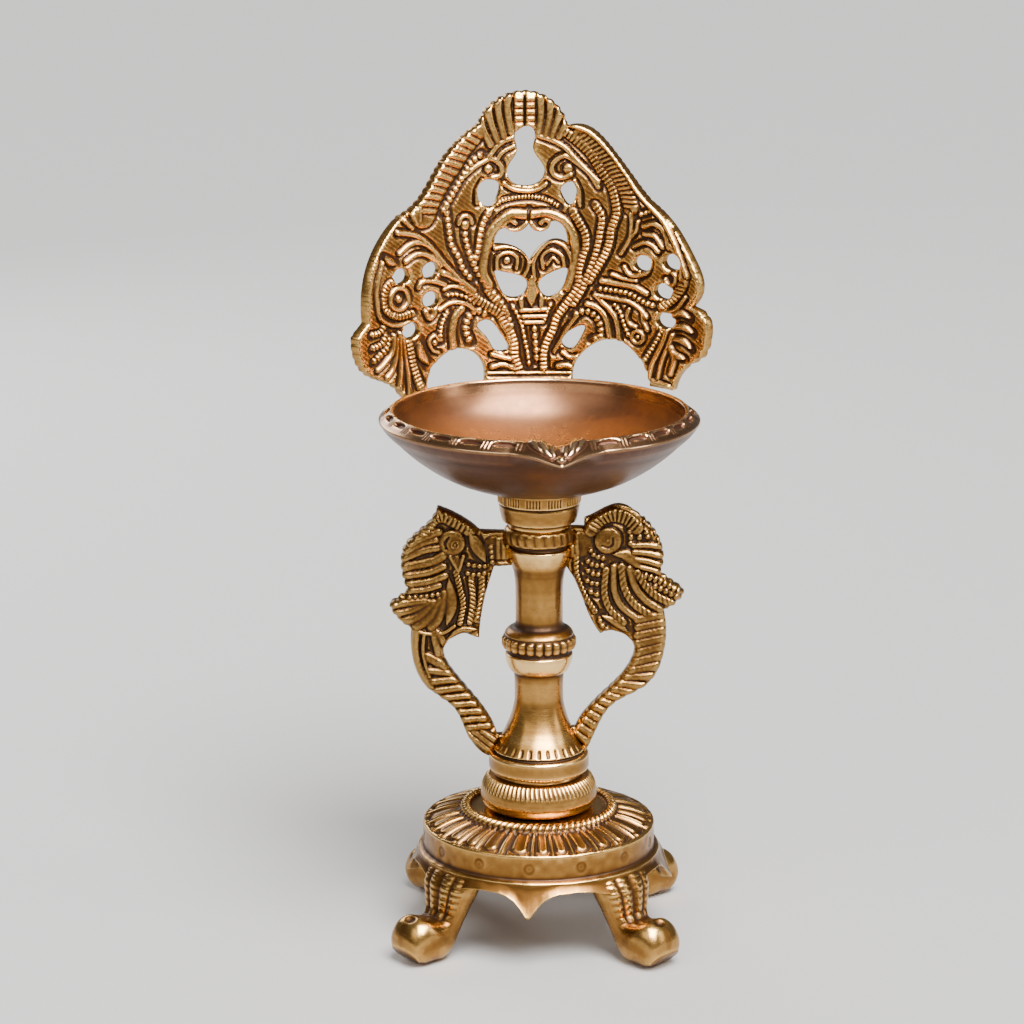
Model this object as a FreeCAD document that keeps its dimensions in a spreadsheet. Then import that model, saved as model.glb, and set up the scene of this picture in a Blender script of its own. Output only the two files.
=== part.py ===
import FreeCAD
import Part
import Sketcher
import os
import re

# Brass standing oil lamp: a pierced back plate behind a spouted bowl, on a baluster stem
# with two peacock side brackets, over a round base with four legs.
# Millimetres, +Z up.  The origin is on the floor under the lamp's own axis, and the front
# of the lamp faces -Y.  Turned parts share the Z axis.

Vector = FreeCAD.Vector
Placement = FreeCAD.Placement
Rotation = FreeCAD.Rotation
UP = Vector(0, 0, 1)

doc = FreeCAD.newDocument("StandingLamp")
sheet = doc.addObject("Spreadsheet::Sheet", "Sizes")

# The driving dimensions.  Levels are heights above the floor, yaws are degrees about +Z.
SIZES = {
    # base casting
    "base_yaw": -5.0,
    "splayed_leg_turn": 5.5,
    "disc_radius": 32.4,
    "disc_wall_bottom": 24.8,
    "disc_wall_top": 31.3,
    "recess_radius": 19.2,
    "recess_level": 35.4,
    "rope_ring_radius": 21.6,
    "boss_bottom": 30.2,
    "apron_top_radius": 33.8,
    "apron_lip_radius": 36.8,
    "pendant_tip_level": 15.4,
    "leg_width": 11.0,
    "toe_reach": 49.8,
    # column
    "spacer_radius": 16.2,
    "spacer_top": 46.2,
    "bell_radius": 14.0,
    "shaft_radius": 6.55,
    "knob_radius": 9.9,
    "knob_level": 83.6,
    "collar_radius": 8.8,
    "stem_top": 116.5,
    "rod_radius": 3.0,
    "rod_bottom": 15.0,
    "rod_top": 66.0,
    "running_clearance": 0.05,
    # bowl and its socket
    "bowl_yaw": 6.0,
    "socket_top_radius": 12.0,
    "socket_top": 127.0,
    "bowl_radius": 44.0,
    "bowl_lip_radius": 40.2,
    "bowl_lip_level": 149.6,
    "bowl_edge_level": 147.0,
    "spout_reach": 52.6,
    "stud_radius": 3.0,
    "stud_bottom": 103.5,
    # back plate
    "plate_yaw": 4.5,
    "plate_curve_radius": 66.0,
    "plate_thickness": 3.4,
    "plate_front": 45.5,
    "tongue_width": 12.0,
    "tongue_bottom": 134.6,
    "lug_width": 10.0,
    "lug_front": 42.7,
    "plate_screw_level": 138.5,
    "plate_screw_radius": 1.5,
    "plate_screw_end": 56.5,
    # peacock brackets
    "bracket_thickness": 5.0,
    "socket_clearance_radius": 12.6,
    # nuts and washers
    "base_nut_flats": 10.0,
    "base_nut_height": 5.0,
    "base_washer_radius": 7.0,
    "base_washer_thickness": 1.0,
    "plate_nut_flats": 5.5,
    "plate_nut_height": 2.4,
    "plate_washer_radius": 3.2,
    "plate_washer_thickness": 0.6,
}


def fill_sheet():
    """Write each driving dimension to its own cell, with its alias."""
    for row, (alias, number) in enumerate(SIZES.items(), start=1):
        sheet.set("A%d" % row, alias.replace("_", " "))
        sheet.set("B%d" % row, repr(number))
        sheet.setAlias("B%d" % row, alias)
    doc.recompute()


def number_of(size):
    """The value of a size, which is a number or a formula in the sheet's aliases."""
    if not isinstance(size, str):
        return float(size)
    sheet.set("D1", "=" + size)
    sheet.recompute()
    result = sheet.get("D1")
    return float(getattr(result, "Value", result))


def bind(thing, prop, size):
    """Set a property from a size, and keep it tied to the sheet if the size is a formula."""
    if isinstance(size, str):
        thing.setExpression(prop, re.sub(r"([a-z]+_\w+)", r"Sizes.\1", size))
    else:
        setattr(thing, prop, size)


def turned_about_z(degrees):
    return Placement(Vector(0, 0, 0), Rotation(UP, degrees))


# ---------------------------------------------------------------- sketches and bodies

def new_body(name):
    body = doc.addObject("PartDesign::Body", name)
    body.Label = name
    return body


def origin_feature(body, role):
    return next(item for item in body.Origin.OriginFeatures if item.Role == role)


def bulged_arc(start, end, bulge):
    """An arc from start to end; a positive bulge lies to the right of the way there."""
    along = end - start
    side = Vector(along.y, -along.x, 0)
    side.normalize()
    return Part.Arc(start, (start + end) * 0.5 + side * bulge, end)


def end_positions(sketch, edge, start):
    """Which sketch point of an edge is its start and which its end."""
    if (sketch.getPoint(edge, 1) - start).Length < 1e-6:
        return 1, 2
    return 2, 1


def fix_coordinate(sketch, kind, edge, position, size):
    """Tie one coordinate of a sketch point to a size."""
    number = number_of(size)
    if abs(number) < 1e-9:
        axis = -2 if kind == "DistanceX" else -1
        sketch.addConstraint(Sketcher.Constraint("PointOnObject", edge, position, axis))
        return
    index = sketch.addConstraint(Sketcher.Constraint(kind, -1, 1, edge, position, number))
    if isinstance(size, str):
        bind(sketch, "Constraints[%d]" % index, size)


def profile_sketch(body, name, corners, turn=0.0):
    """A closed profile in the upright plane that faces -Y, turned about +Z.

    Each corner is (across, up) or (across, up, bulge of the arc to the next corner)."""
    sketch = body.newObject("Sketcher::SketchObject", name)
    sketch.AttachmentSupport = [(origin_feature(body, "XZ_Plane"), "")]
    sketch.MapMode = "FlatFace"
    sketch.AttachmentOffset = Placement(Vector(0, 0, 0), Rotation(Vector(0, 1, 0), turn))
    points = [Vector(number_of(c[0]), number_of(c[1]), 0) for c in corners]
    count = len(points)
    ends = []
    for index, corner in enumerate(corners):
        start = points[index]
        end = points[(index + 1) % count]
        if len(corner) > 2:
            edge = sketch.addGeometry(bulged_arc(start, end, corner[2]), False)
        else:
            edge = sketch.addGeometry(Part.LineSegment(start, end), False)
        ends.append(end_positions(sketch, edge, start))
    for index, corner in enumerate(corners):
        after = (index + 1) % count
        sketch.addConstraint(
            Sketcher.Constraint("Coincident", index, ends[index][1], after, ends[after][0]))
        fix_coordinate(sketch, "DistanceX", index, ends[index][0], corner[0])
        fix_coordinate(sketch, "DistanceY", index, ends[index][0], corner[1])
        if len(corner) > 2:
            radius = sketch.Geometry[index].Radius
            sketch.addConstraint(Sketcher.Constraint("Radius", index, radius))
    return sketch


def add_revolution(body, name, corners):
    """A solid of revolution about +Z from a profile of radius and height."""
    turning = body.newObject("PartDesign::Revolution", name)
    turning.Profile = profile_sketch(body, name + "_profile", corners)
    turning.ReferenceAxis = (origin_feature(body, "Z_Axis"), [""])
    turning.Angle = 360.0
    return turning


def add_turn_pattern(body, name, features, count):
    """Repeat features evenly round a full turn about +Z."""
    pattern = body.newObject("PartDesign::PolarPattern", name)
    pattern.Originals = features
    pattern.Axis = (origin_feature(body, "Z_Axis"), [""])
    pattern.Angle = 360.0
    pattern.Occurrences = count
    body.Tip = pattern
    return pattern


def turned_body(name, corners):
    body = new_body(name)
    add_revolution(body, name + "_turning", corners)
    return body


def cylinder(name, radius, height, base=Vector(0, 0, 0), axis=UP):
    rod = doc.addObject("Part::Cylinder", name)
    bind(rod, "Radius", radius)
    bind(rod, "Height", height)
    rod.Placement = Placement(base, Rotation(UP, axis))
    return rod


def block(name, low, high):
    """A box between two corners, each given as three sizes."""
    box = doc.addObject("Part::Box", name)
    for prop, start, end in zip(("Length", "Width", "Height"), low, high):
        bind(box, prop, "%s - (%s)" % (end, start))
    box.Placement.Base = Vector(*[number_of(size) for size in low])
    return box


def cut(name, base, tool):
    result = doc.addObject("Part::Cut", name)
    result.Base = base
    result.Tool = tool
    result.Label = name
    return result


def fuse(name, pieces):
    result = doc.addObject("Part::MultiFuse", name)
    result.Shapes = pieces
    result.Label = name
    return result


# ---------------------------------------------------------------- base

DISC_PROFILE = [
    ("rod_radius + running_clearance", "boss_bottom"),
    ("rod_radius + running_clearance", "recess_level"),
    ("recess_radius", "recess_level", -1.2),
    ("rope_ring_radius", "recess_level - 0.2"),
    ("rope_ring_radius + 0.5", "recess_level - 0.5", -0.5),
    ("disc_radius - 0.8", "disc_wall_top + 0.5", -0.4),
    ("disc_radius", "disc_wall_top - 0.5"),
    ("disc_radius", "disc_wall_bottom"),
    ("apron_top_radius", "disc_wall_bottom - 0.6", 0.5),
    ("apron_lip_radius", "pendant_tip_level"),
    ("apron_lip_radius - 2.2", "pendant_tip_level", -0.5),
    ("apron_top_radius - 3.0", "disc_wall_bottom - 1.6"),
    ("apron_top_radius - 4.6", "disc_wall_bottom + 1.0"),
    ("recess_radius + 2.0", "boss_bottom + 1.6"),
    ("base_washer_radius + 2.0", "boss_bottom + 1.6"),
    ("base_washer_radius + 2.0", "boss_bottom"),
]

# One arch side of the apron seen from the front: two hollows that meet in a pointed pendant.
ARCH_PROFILE = [
    (-22.0, "pendant_tip_level - 6"),
    (-22.0, "pendant_tip_level + 2", -1.0),
    (-14.0, "pendant_tip_level + 6.4"),
    (-8.5, "pendant_tip_level + 6.2", -1.2),
    (-0.7, "pendant_tip_level"),
    (0.7, "pendant_tip_level", -1.2),
    (8.5, "pendant_tip_level + 6.2"),
    (14.0, "pendant_tip_level + 6.4", -1.0),
    (22.0, "pendant_tip_level + 2"),
    (22.0, "pendant_tip_level - 6"),
]

# Radius and height of a leg: knee under the disc, ankle, upturned toe, sole and heel.
LEG_PROFILE = [
    (25.0, "disc_wall_bottom + 2.4"),
    (31.0, "disc_wall_bottom + 2.4"),
    (34.4, "disc_wall_bottom - 0.2", -1.0),
    (35.6, 12.6, 0.8),
    (39.0, 10.4, 0.4),
    (42.6, 12.6, -1.0),
    ("toe_reach - 1.0", 10.2, -0.7),
    ("toe_reach", 6.6, -0.8),
    (44.6, 0.0),
    (38.6, 0.0, -0.7),
    (33.4, 4.2, 0.8),
    (29.4, 15.0, 0.8),
    (25.0, 21.5),
]


def add_leg_pair(body, name, turn):
    """Two opposite legs, this turn about +Z from the disc's right-hand side."""
    leg = body.newObject("PartDesign::Pad", name)
    leg.Profile = profile_sketch(body, name + "_profile", LEG_PROFILE, turn=turn)
    leg.SideType = "Symmetric"
    bind(leg, "Length", "leg_width")
    add_turn_pattern(body, name + "_pair", [leg], 2)


def make_base_casting():
    """The disc, its apron with four pendants, and the four legs, cast in one piece."""
    body = new_body("base_casting")
    add_revolution(body, "disc", DISC_PROFILE)
    arch = body.newObject("PartDesign::Pocket", "arch")
    arch.Profile = profile_sketch(body, "arch_profile", ARCH_PROFILE)
    arch.Type = "ThroughAll"
    arch.Reversed = True
    add_turn_pattern(body, "arches", [arch], 4)
    add_leg_pair(body, "front_left_and_back_right_leg", 45.0)
    add_leg_pair(body, "front_right_and_back_left_leg", -45.0 + number_of("splayed_leg_turn"))
    body.Placement = turned_about_z(number_of("base_yaw"))
    return body


SPACER_PROFILE = [
    ("rod_radius + 0.1", "recess_level"),
    ("rod_radius + 0.1", "spacer_top"),
    ("bell_radius - 2.0", "spacer_top"),
    ("bell_radius - 1.8", "spacer_top - 0.8"),
    ("bell_radius + 0.2", "spacer_top - 1.2", -0.5),
    ("spacer_radius", "recess_level + 4.6", -0.5),
    ("spacer_radius - 1.4", "recess_level + 0.9"),
    ("spacer_radius - 3.6", "recess_level"),
]

WASHER_HOLE = "rod_radius + running_clearance"


def make_washer(name, radius, thickness, hole):
    rim = cylinder(name + "_rim", radius, thickness)
    bore = cylinder(name + "_bore", hole, thickness)
    return cut(name, rim, bore)


def make_nut(name, flats, height, hole):
    """A hexagon nut with its bore, standing on its lower face."""
    hexagon = doc.addObject("Part::Prism", name + "_hexagon")
    hexagon.Polygon = 6
    bind(hexagon, "Circumradius", flats + " / sqrt(3)")
    bind(hexagon, "Height", height)
    bore = cylinder(name + "_bore", hole, height)
    return cut(name, hexagon, bore)


def make_base_fasteners():
    """The rod that ties stem, spacer and base together, with its washer and nut below."""
    rod = cylinder("tie_rod", "rod_radius", "rod_top - rod_bottom")
    rod.Placement.Base.z = number_of("rod_bottom")
    washer = make_washer(
        "base_washer", "base_washer_radius", "base_washer_thickness", WASHER_HOLE)
    washer.Placement.Base.z = number_of("boss_bottom - base_washer_thickness")
    nut = make_nut("base_nut", "base_nut_flats", "base_nut_height", WASHER_HOLE)
    nut.Placement.Base.z = number_of("boss_bottom - base_washer_thickness - base_nut_height")
    return [rod, washer, nut]


# ---------------------------------------------------------------- stem

STEM_PROFILE = [
    ("rod_radius", "spacer_top"),
    ("bell_radius - 1.4", "spacer_top", 0.2),
    ("bell_radius", "spacer_top + 1.2"),
    ("bell_radius", "spacer_top + 4.8", 0.2),
    ("bell_radius - 0.8", "spacer_top + 5.6"),
    ("bell_radius - 1.6", "spacer_top + 5.7"),
    ("bell_radius - 1.6", "spacer_top + 6.3"),
    ("bell_radius - 1.1", "spacer_top + 6.6", -0.95),
    ("shaft_radius + 0.2", "spacer_top + 20.5", -0.1),
    ("shaft_radius + 0.4", "knob_level - 8.8"),
    ("knob_radius - 2.0", "knob_level - 8.2", 0.4),
    ("knob_radius - 0.5", "knob_level - 3.4"),
    ("knob_radius - 1.1", "knob_level - 3.0"),
    ("knob_radius - 1.1", "knob_level - 2.0"),
    ("knob_radius - 0.3", "knob_level - 1.6", 0.2),
    ("knob_radius", "knob_level", 0.6),
    ("knob_radius - 1.4", "knob_level + 3.8"),
    ("shaft_radius + 0.6", "knob_level + 4.4"),
    ("shaft_radius", "knob_level + 5.2"),
    ("shaft_radius", "stem_top - 17.5", -0.15),
    ("shaft_radius + 0.7", "stem_top - 12.2"),
    ("shaft_radius + 0.9", "stem_top - 11.6", 0.3),
    ("collar_radius", "stem_top - 6.2"),
    ("collar_radius - 0.9", "stem_top - 5.6"),
    ("collar_radius - 0.9", "stem_top - 4.6"),
    ("collar_radius + 0.6", "stem_top - 4.3", 0.4),
    ("collar_radius + 0.6", "stem_top - 0.4"),
    ("collar_radius", "stem_top"),
    ("stud_radius + running_clearance", "stem_top"),
    ("stud_radius + running_clearance", "stud_bottom - 1.5"),
    (0.0, "stud_bottom - 1.5"),
    (0.0, "rod_top"),
    ("rod_radius", "rod_top"),
]

# Each bracket is one flat casting of a bird on a curved tail arm, drawn across and up.
# A run is a smooth curve through its points, and the next run starts at its last point.
LEFT_BRACKET = [
    [(-5.0, 115.0), (-16.3, 115.4)],
    [(-16.3, 115.4), (-21.2, 119.0), (-28.1, 122.2)],
    [(-28.1, 122.2), (-32.6, 115.6), (-37.2, 111.0), (-38.1, 106.0), (-36.2, 98.3)],
    [(-36.2, 98.3), (-41.5, 94.4)],
    [(-41.5, 94.4), (-39.6, 91.0), (-35.4, 87.6)],
    [(-35.4, 87.6), (-35.3, 80.0), (-31.0, 70.2), (-24.0, 65.0), (-19.6, 56.0), (-13.2, 50.0)],
    [(-13.2, 50.0), (-6.0, 50.0)],
    [(-6.0, 50.0), (-6.0, 57.0)],
    [(-6.0, 57.0), (-11.7, 56.6)],
    [(-11.7, 56.6), (-16.4, 65.7), (-23.3, 74.1), (-26.5, 80.5), (-21.1, 86.2)],
    [(-21.1, 86.2), (-16.6, 84.8)],
    [(-16.6, 84.8), (-15.6, 93.6), (-12.4, 105.2)],
    [(-12.4, 105.2), (-5.0, 105.8)],
    [(-5.0, 105.8), (-5.0, 115.0)],
]

RIGHT_BRACKET = [
    [(5.0, 116.2), (9.0, 118.0)],
    [(9.0, 118.0), (16.1, 120.7), (21.0, 122.7), (25.6, 121.2)],
    [(25.6, 121.2), (31.6, 115.6), (34.2, 109.0), (33.4, 103.9)],
    [(33.4, 103.9), (37.4, 100.6), (40.0, 97.8), (37.6, 94.6), (34.5, 92.8)],
    [(34.5, 92.8), (34.5, 80.0), (30.6, 71.8), (20.3, 65.4), (15.6, 57.4), (12.6, 50.8)],
    [(12.6, 50.8), (6.0, 50.0)],
    [(6.0, 50.0), (6.0, 58.0)],
    [(6.0, 58.0), (10.1, 58.9)],
    [(10.1, 58.9), (16.0, 67.0), (24.6, 76.5), (26.3, 82.6), (21.4, 86.6), (17.0, 86.0)],
    [(17.0, 86.0), (14.0, 91.0), (10.4, 100.0), (7.4, 105.4)],
    [(7.4, 105.4), (5.0, 105.8)],
    [(5.0, 105.8), (5.0, 116.2)],
]


def run_edge(run):
    """The edge of one run: straight for two points, otherwise a spline."""
    points = [Vector(across, 0, up) for across, up in run]
    if len(points) == 2:
        return Part.makeLine(points[0], points[1])
    curve = Part.BSplineCurve()
    curve.interpolate(points)
    return curve.toShape()


def loop_edge(points):
    """A closed smooth curve through points."""
    curve = Part.BSplineCurve()
    curve.interpolate([Vector(across, 0, up) for across, up in points], PeriodicFlag=True)
    return curve.toShape()


def upright_face(name, runs, holes=()):
    """A flat face in the plane y = 0, bounded by runs, with holes as closed wires."""
    outer = Part.Wire([run_edge(run) for run in runs])
    face = Part.Face([outer] + list(holes), "Part::FaceMakerBullseye")
    outline = doc.addObject("Part::Feature", name)
    outline.Shape = face
    return outline


def extrude_back(name, outline, length, symmetric=False):
    """Extrude an upright face along +Y, or equally both ways."""
    solid = doc.addObject("Part::Extrusion", name)
    solid.Base = outline
    solid.DirMode = "Custom"
    solid.Dir = Vector(0, 1, 0)
    solid.Solid = True
    solid.Symmetric = symmetric
    bind(solid, "LengthFwd", length)
    return solid


def make_bracket(name, runs, stem):
    """A peacock bracket, cut to sit against the stem and to pass the turning socket."""
    outline = upright_face(name + "_outline", runs)
    blank = extrude_back(name + "_blank", outline, "bracket_thickness", symmetric=True)
    seated = cut(name + "_seated", blank, stem)
    passage = cylinder(name + "_passage", "socket_clearance_radius", 12.0)
    passage.Placement.Base.z = number_of("stem_top")
    trimmed = cut(name + "_trimmed", seated, passage)
    return trimmed


# ---------------------------------------------------------------- bowl

SOCKET_PROFILE = [
    ("stud_radius", "stem_top"),
    ("collar_radius - 0.3", "stem_top"),
    ("collar_radius - 0.3", "stem_top + 1.3"),
    ("socket_top_radius - 1.8", "stem_top + 1.8", 0.15),
    ("socket_top_radius - 0.8", "socket_top - 3.6"),
    ("socket_top_radius - 0.5", "socket_top - 3.4"),
    ("socket_top_radius - 0.3", "socket_top - 0.6"),
    ("socket_top_radius", "socket_top"),
    ("stud_radius", "socket_top"),
]

BOWL_PROFILE = [
    (0.0, "socket_top"),
    ("socket_top_radius + 0.6", "socket_top", 0.3),
    ("bowl_radius * 0.56", "socket_top + 3.8", 0.8),
    ("bowl_radius * 0.9", "socket_top + 14.6", 0.3),
    ("bowl_radius - 0.3", "bowl_edge_level - 0.9"),
    ("bowl_radius", "bowl_edge_level - 0.6"),
    ("bowl_radius", "bowl_edge_level"),
    ("bowl_lip_radius + 0.5", "bowl_lip_level", 0.1),
    ("bowl_lip_radius - 0.4", "bowl_lip_level - 0.3", -0.4),
    ("bowl_radius * 0.84", "socket_top + 14.6", -0.9),
    ("bowl_radius * 0.5", "socket_top + 5.4", -0.7),
    (3.0, "socket_top + 2.4"),
    (0.0, "socket_top + 2.4"),
]

WEDGE_SIZES = ("Xmin", "Xmax", "Zmin", "Zmax", "X2min", "X2max", "Z2min", "Z2max")


def forward_wedge(name, root, reach, sizes):
    """A block that tapers from y = -root to y = -reach.

    The sizes are its half widths and levels at the root, then at the tip."""
    wedge = doc.addObject("Part::Wedge", name)
    root_half, root_low, root_high, tip_half, tip_low, tip_high = sizes
    across_and_up = (-root_half, root_half, root_low, root_high,
                     -tip_half, tip_half, tip_low, tip_high)
    for prop, size in zip(WEDGE_SIZES, across_and_up):
        bind(wedge, prop, size)
    bind(wedge, "Ymin", 0.0)
    bind(wedge, "Ymax", "%s - %s" % (reach, root))
    wedge.Placement = Placement(Vector(0, -number_of(root), 0), Rotation(UP, 180))
    return wedge


def make_rear_lug(sheet_curve):
    """The bowl's lug below its back rim, with a rear face that fits the plate's curve."""
    tab = block("lug_tab",
                ("-lug_width / 2", "lug_front", "tongue_bottom"),
                ("lug_width / 2", "lug_front + 5", "bowl_edge_level - 0.6"))
    root = block("lug_root",
                 ("-lug_width / 2", "bowl_lip_radius + 0.1", "bowl_edge_level - 4.8"),
                 ("lug_width / 2", "lug_front + 5", "bowl_edge_level - 0.6"))
    blank = fuse("lug_blank", [tab, root])
    hole = cylinder("lug_hole", "plate_screw_radius", 20.0,
                    Vector(0, number_of("lug_front - 5"), number_of("plate_screw_level")),
                    Vector(0, 1, 0))
    lug = cut("lug", cut("lug_seated", blank, sheet_curve), hole)
    lug.Placement = turned_about_z(number_of("plate_yaw - bowl_yaw"))
    return lug


def make_bowl(sheet_curve):
    """The oil bowl with its spout and the lug that carries the back plate."""
    dish = turned_body("bowl_turning", BOWL_PROFILE)
    spout = forward_wedge("spout", "bowl_lip_radius - 1.0", "spout_reach",
                          (9.5, "bowl_edge_level - 3.6", "bowl_edge_level + 0.9",
                           0.6, "bowl_edge_level - 2.4", "bowl_edge_level - 1.2"))
    channel = forward_wedge("spout_channel", "bowl_lip_radius - 4.0", "spout_reach - 1.0",
                            (4.5, "bowl_edge_level - 0.8", "bowl_lip_level + 1.0",
                             0.3, "bowl_edge_level - 1.8", "bowl_lip_level + 1.0"))
    whole = fuse("bowl_whole", [dish, spout, make_rear_lug(sheet_curve)])
    bowl = cut("bowl", whole, channel)
    bowl.Placement = turned_about_z(number_of("bowl_yaw"))
    return bowl


def make_bowl_stud():
    stud = cylinder("bowl_stud", "stud_radius", "socket_top - stud_bottom")
    stud.Placement.Base.z = number_of("stud_bottom")
    return stud


# ---------------------------------------------------------------- back plate

# The plate seen from the front: across from its middle, and up from the bowl's lip.
PLATE_OUTLINE = [
    [(-12.0, -0.6), (-14.8, 6.2), (-19.6, 8.2), (-25.6, 6.0), (-29.5, -3.4)],
    [(-29.5, -3.4), (-36.6, -4.6)],
    [(-36.6, -4.6), (-41.1, 0.4), (-46.9, 3.8), (-50.1, 10.0), (-50.4, 15.4)],
    [(-50.4, 15.4), (-47.3, 18.6)],
    [(-47.3, 18.6), (-47.5, 25.0), (-46.0, 33.8), (-42.5, 41.1), (-37.0, 47.4)],
    [(-37.0, 47.4), (-31.4, 51.2), (-24.6, 61.8), (-17.9, 68.9), (-13.6, 72.0)],
    [(-13.6, 72.0), (-10.6, 76.8), (-4.0, 80.3), (2.5, 80.5), (9.0, 76.8), (12.0, 71.0)],
    [(12.0, 71.0), (18.0, 70.9), (24.1, 65.4), (30.2, 57.2), (35.4, 50.5)],
    [(35.4, 50.5), (40.9, 45.2), (46.3, 36.0), (48.9, 28.6), (46.7, 21.9)],
    [(46.7, 21.9), (50.7, 18.8), (51.0, 13.6), (49.4, 8.0), (46.7, 5.6)],
    [(46.7, 5.6), (43.7, 1.8), (42.2, -2.8)],
    [(42.2, -2.8), (35.9, -2.2)],
    [(35.9, -2.2), (32.6, 6.0), (26.4, 10.4), (19.0, 8.2), (13.7, -0.6)],
]

KEYHOLE = [(-0.3, 70.9), (-3.1, 67.6), (-2.4, 64.6), (-5.2, 58.8), (-3.6, 55.0), (0.1, 53.9),
           (3.7, 55.0), (5.2, 58.8), (2.1, 64.6), (2.6, 67.6)]
LEFT_SLOT = [(-13.1, 55.0), (-10.2, 56.1), (-7.5, 54.9), (-7.6, 51.6), (-9.9, 48.2),
             (-12.2, 49.2)]
RIGHT_SLOT = [(10.8, 54.6), (13.2, 55.0), (14.0, 52.4), (12.2, 48.5), (10.1, 51.2)]
LOWER_LEFT_EYE = [(-8.2, 30.1), (-4.2, 29.2), (0.3, 26.7), (-0.8, 22.7), (-4.5, 22.2),
                  (-7.4, 25.5)]
LOWER_RIGHT_EYE = [(11.1, 30.7), (7.4, 29.4), (3.7, 25.8), (6.0, 22.1), (9.1, 23.5),
                   (11.1, 27.3)]
LEFT_TEARDROP = [(-13.2, 15.4), (-10.6, 15.9), (-6.5, 11.0), (-5.0, 7.0), (-7.6, 6.6),
                 (-11.4, 11.5)]
RIGHT_TEARDROP = [(16.2, 14.2), (13.4, 13.2), (10.4, 8.2), (11.8, 7.2), (15.4, 10.8)]
HEART_OPENING = [
    [(-8.8, 37.6), (-7.9, 40.7), (-5.9, 42.4)],
    [(-5.9, 42.4), (-3.4, 41.1), (-0.5, 41.7), (0.9, 43.9)],
    [(0.9, 43.9), (2.3, 41.5), (4.8, 41.2), (7.0, 43.9)],
    [(7.0, 43.9), (9.8, 43.1), (11.3, 40.4), (11.6, 37.4)],
    [(11.6, 37.4), (7.4, 38.6), (4.0, 36.6), (1.2, 32.4)],
    [(1.2, 32.4), (-1.7, 35.9), (-5.1, 37.3), (-8.8, 37.6)],
]
ROUND_HOLES = [(-35.4, 30.5), (-27.0, 31.3), (-27.0, 23.0), (-32.6, 14.7),
               (32.1, 32.9), (39.7, 34.0), (37.5, 25.4), (38.1, 17.2)]
ROUND_HOLE_RADIUS = 2.35


def round_hole(across, up, radius):
    return Part.Wire(Part.makeCircle(radius, Vector(across, 0, up), Vector(0, 1, 0)))


def tongue_runs():
    """The straight edges of the tongue that hangs behind the rim, from right to left."""
    half = number_of("tongue_width / 2")
    bottom = number_of("tongue_bottom - bowl_lip_level")
    corners = [PLATE_OUTLINE[-1][-1], (half, -0.8), (half, bottom), (-half, bottom),
               (-half, -0.8), PLATE_OUTLINE[0][0]]
    return [[start, end] for start, end in zip(corners, corners[1:])]


def plate_holes():
    loops = [KEYHOLE, LEFT_SLOT, RIGHT_SLOT, LOWER_LEFT_EYE, LOWER_RIGHT_EYE,
             LEFT_TEARDROP, RIGHT_TEARDROP]
    wires = [Part.Wire(loop_edge(loop)) for loop in loops]
    wires.append(Part.Wire([run_edge(run) for run in HEART_OPENING]))
    for across, up in ROUND_HOLES:
        wires.append(round_hole(across, up, ROUND_HOLE_RADIUS))
    screw_up = number_of("plate_screw_level - bowl_lip_level")
    screw_hole = number_of("plate_screw_radius + running_clearance")
    wires.append(round_hole(0.0, screw_up, screw_hole))
    return wires


def make_sheet_curve():
    """The curved sheet, open towards the front, that the back plate is cut from."""
    centre = Vector(0, number_of("plate_front - plate_curve_radius"), 100.0)
    outside = cylinder("sheet_outside", "plate_curve_radius + plate_thickness", 150.0, centre)
    inside = cylinder("sheet_inside", "plate_curve_radius", 150.0, centre)
    return cut("sheet_curve", outside, inside)


def make_back_plate(sheet_curve):
    outline = upright_face("plate_outline", PLATE_OUTLINE + tongue_runs(), plate_holes())
    blank = extrude_back("plate_blank", outline, 80.0)
    blank.Placement.Base = Vector(0, 0, number_of("bowl_lip_level"))
    plate = doc.addObject("Part::Common", "back_plate")
    plate.Base = blank
    plate.Tool = sheet_curve
    plate.Placement = turned_about_z(number_of("plate_yaw"))
    return plate


SCREW_PROFILE = [
    (0.0, 0.0),
    (1.7, 0.0, 0.2),
    (2.5, 0.8),
    (2.5, 1.7),
    ("plate_screw_radius", 1.7),
    ("plate_screw_radius", "plate_screw_end - lug_front + 1.7"),
    (0.0, "plate_screw_end - lug_front + 1.7"),
]


def along_plate_axis(distance):
    """A placement on the plate screw's axis that turns +Z to the rear of the plate."""
    across = Rotation(Vector(1, 0, 0), -90)
    local = Placement(Vector(0, distance, number_of("plate_screw_level")), across)
    return turned_about_z(number_of("plate_yaw")).multiply(local)


def make_plate_fasteners():
    screw = turned_body("plate_screw", SCREW_PROFILE)
    screw.Placement = along_plate_axis(number_of("lug_front - 1.7"))
    hole = "plate_screw_radius + running_clearance"
    rear = number_of("plate_front + plate_thickness")
    washer = make_washer("plate_washer", "plate_washer_radius", "plate_washer_thickness", hole)
    washer.Placement = along_plate_axis(rear)
    nut = make_nut("plate_nut", "plate_nut_flats", "plate_nut_height", hole)
    nut.Placement = along_plate_axis(rear + number_of("plate_washer_thickness"))
    return [screw, washer, nut]


# ---------------------------------------------------------------- the whole lamp

def make_lamp():
    stem = turned_body("stem", STEM_PROFILE)
    left = make_bracket("left_peacock_bracket", LEFT_BRACKET, stem)
    left.Label = "left_peacock_bracket"
    right = make_bracket("right_peacock_bracket", RIGHT_BRACKET, stem)
    right.Label = "right_peacock_bracket"
    sheet_curve = make_sheet_curve()
    pieces = [make_base_casting(), turned_body("knurled_spacer", SPACER_PROFILE)]
    pieces += make_base_fasteners()
    pieces += [stem, left, right]
    pieces += [turned_body("bowl_socket", SOCKET_PROFILE), make_bowl_stud()]
    pieces += [make_bowl(sheet_curve), make_back_plate(sheet_curve)]
    pieces += make_plate_fasteners()
    return pieces


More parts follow.
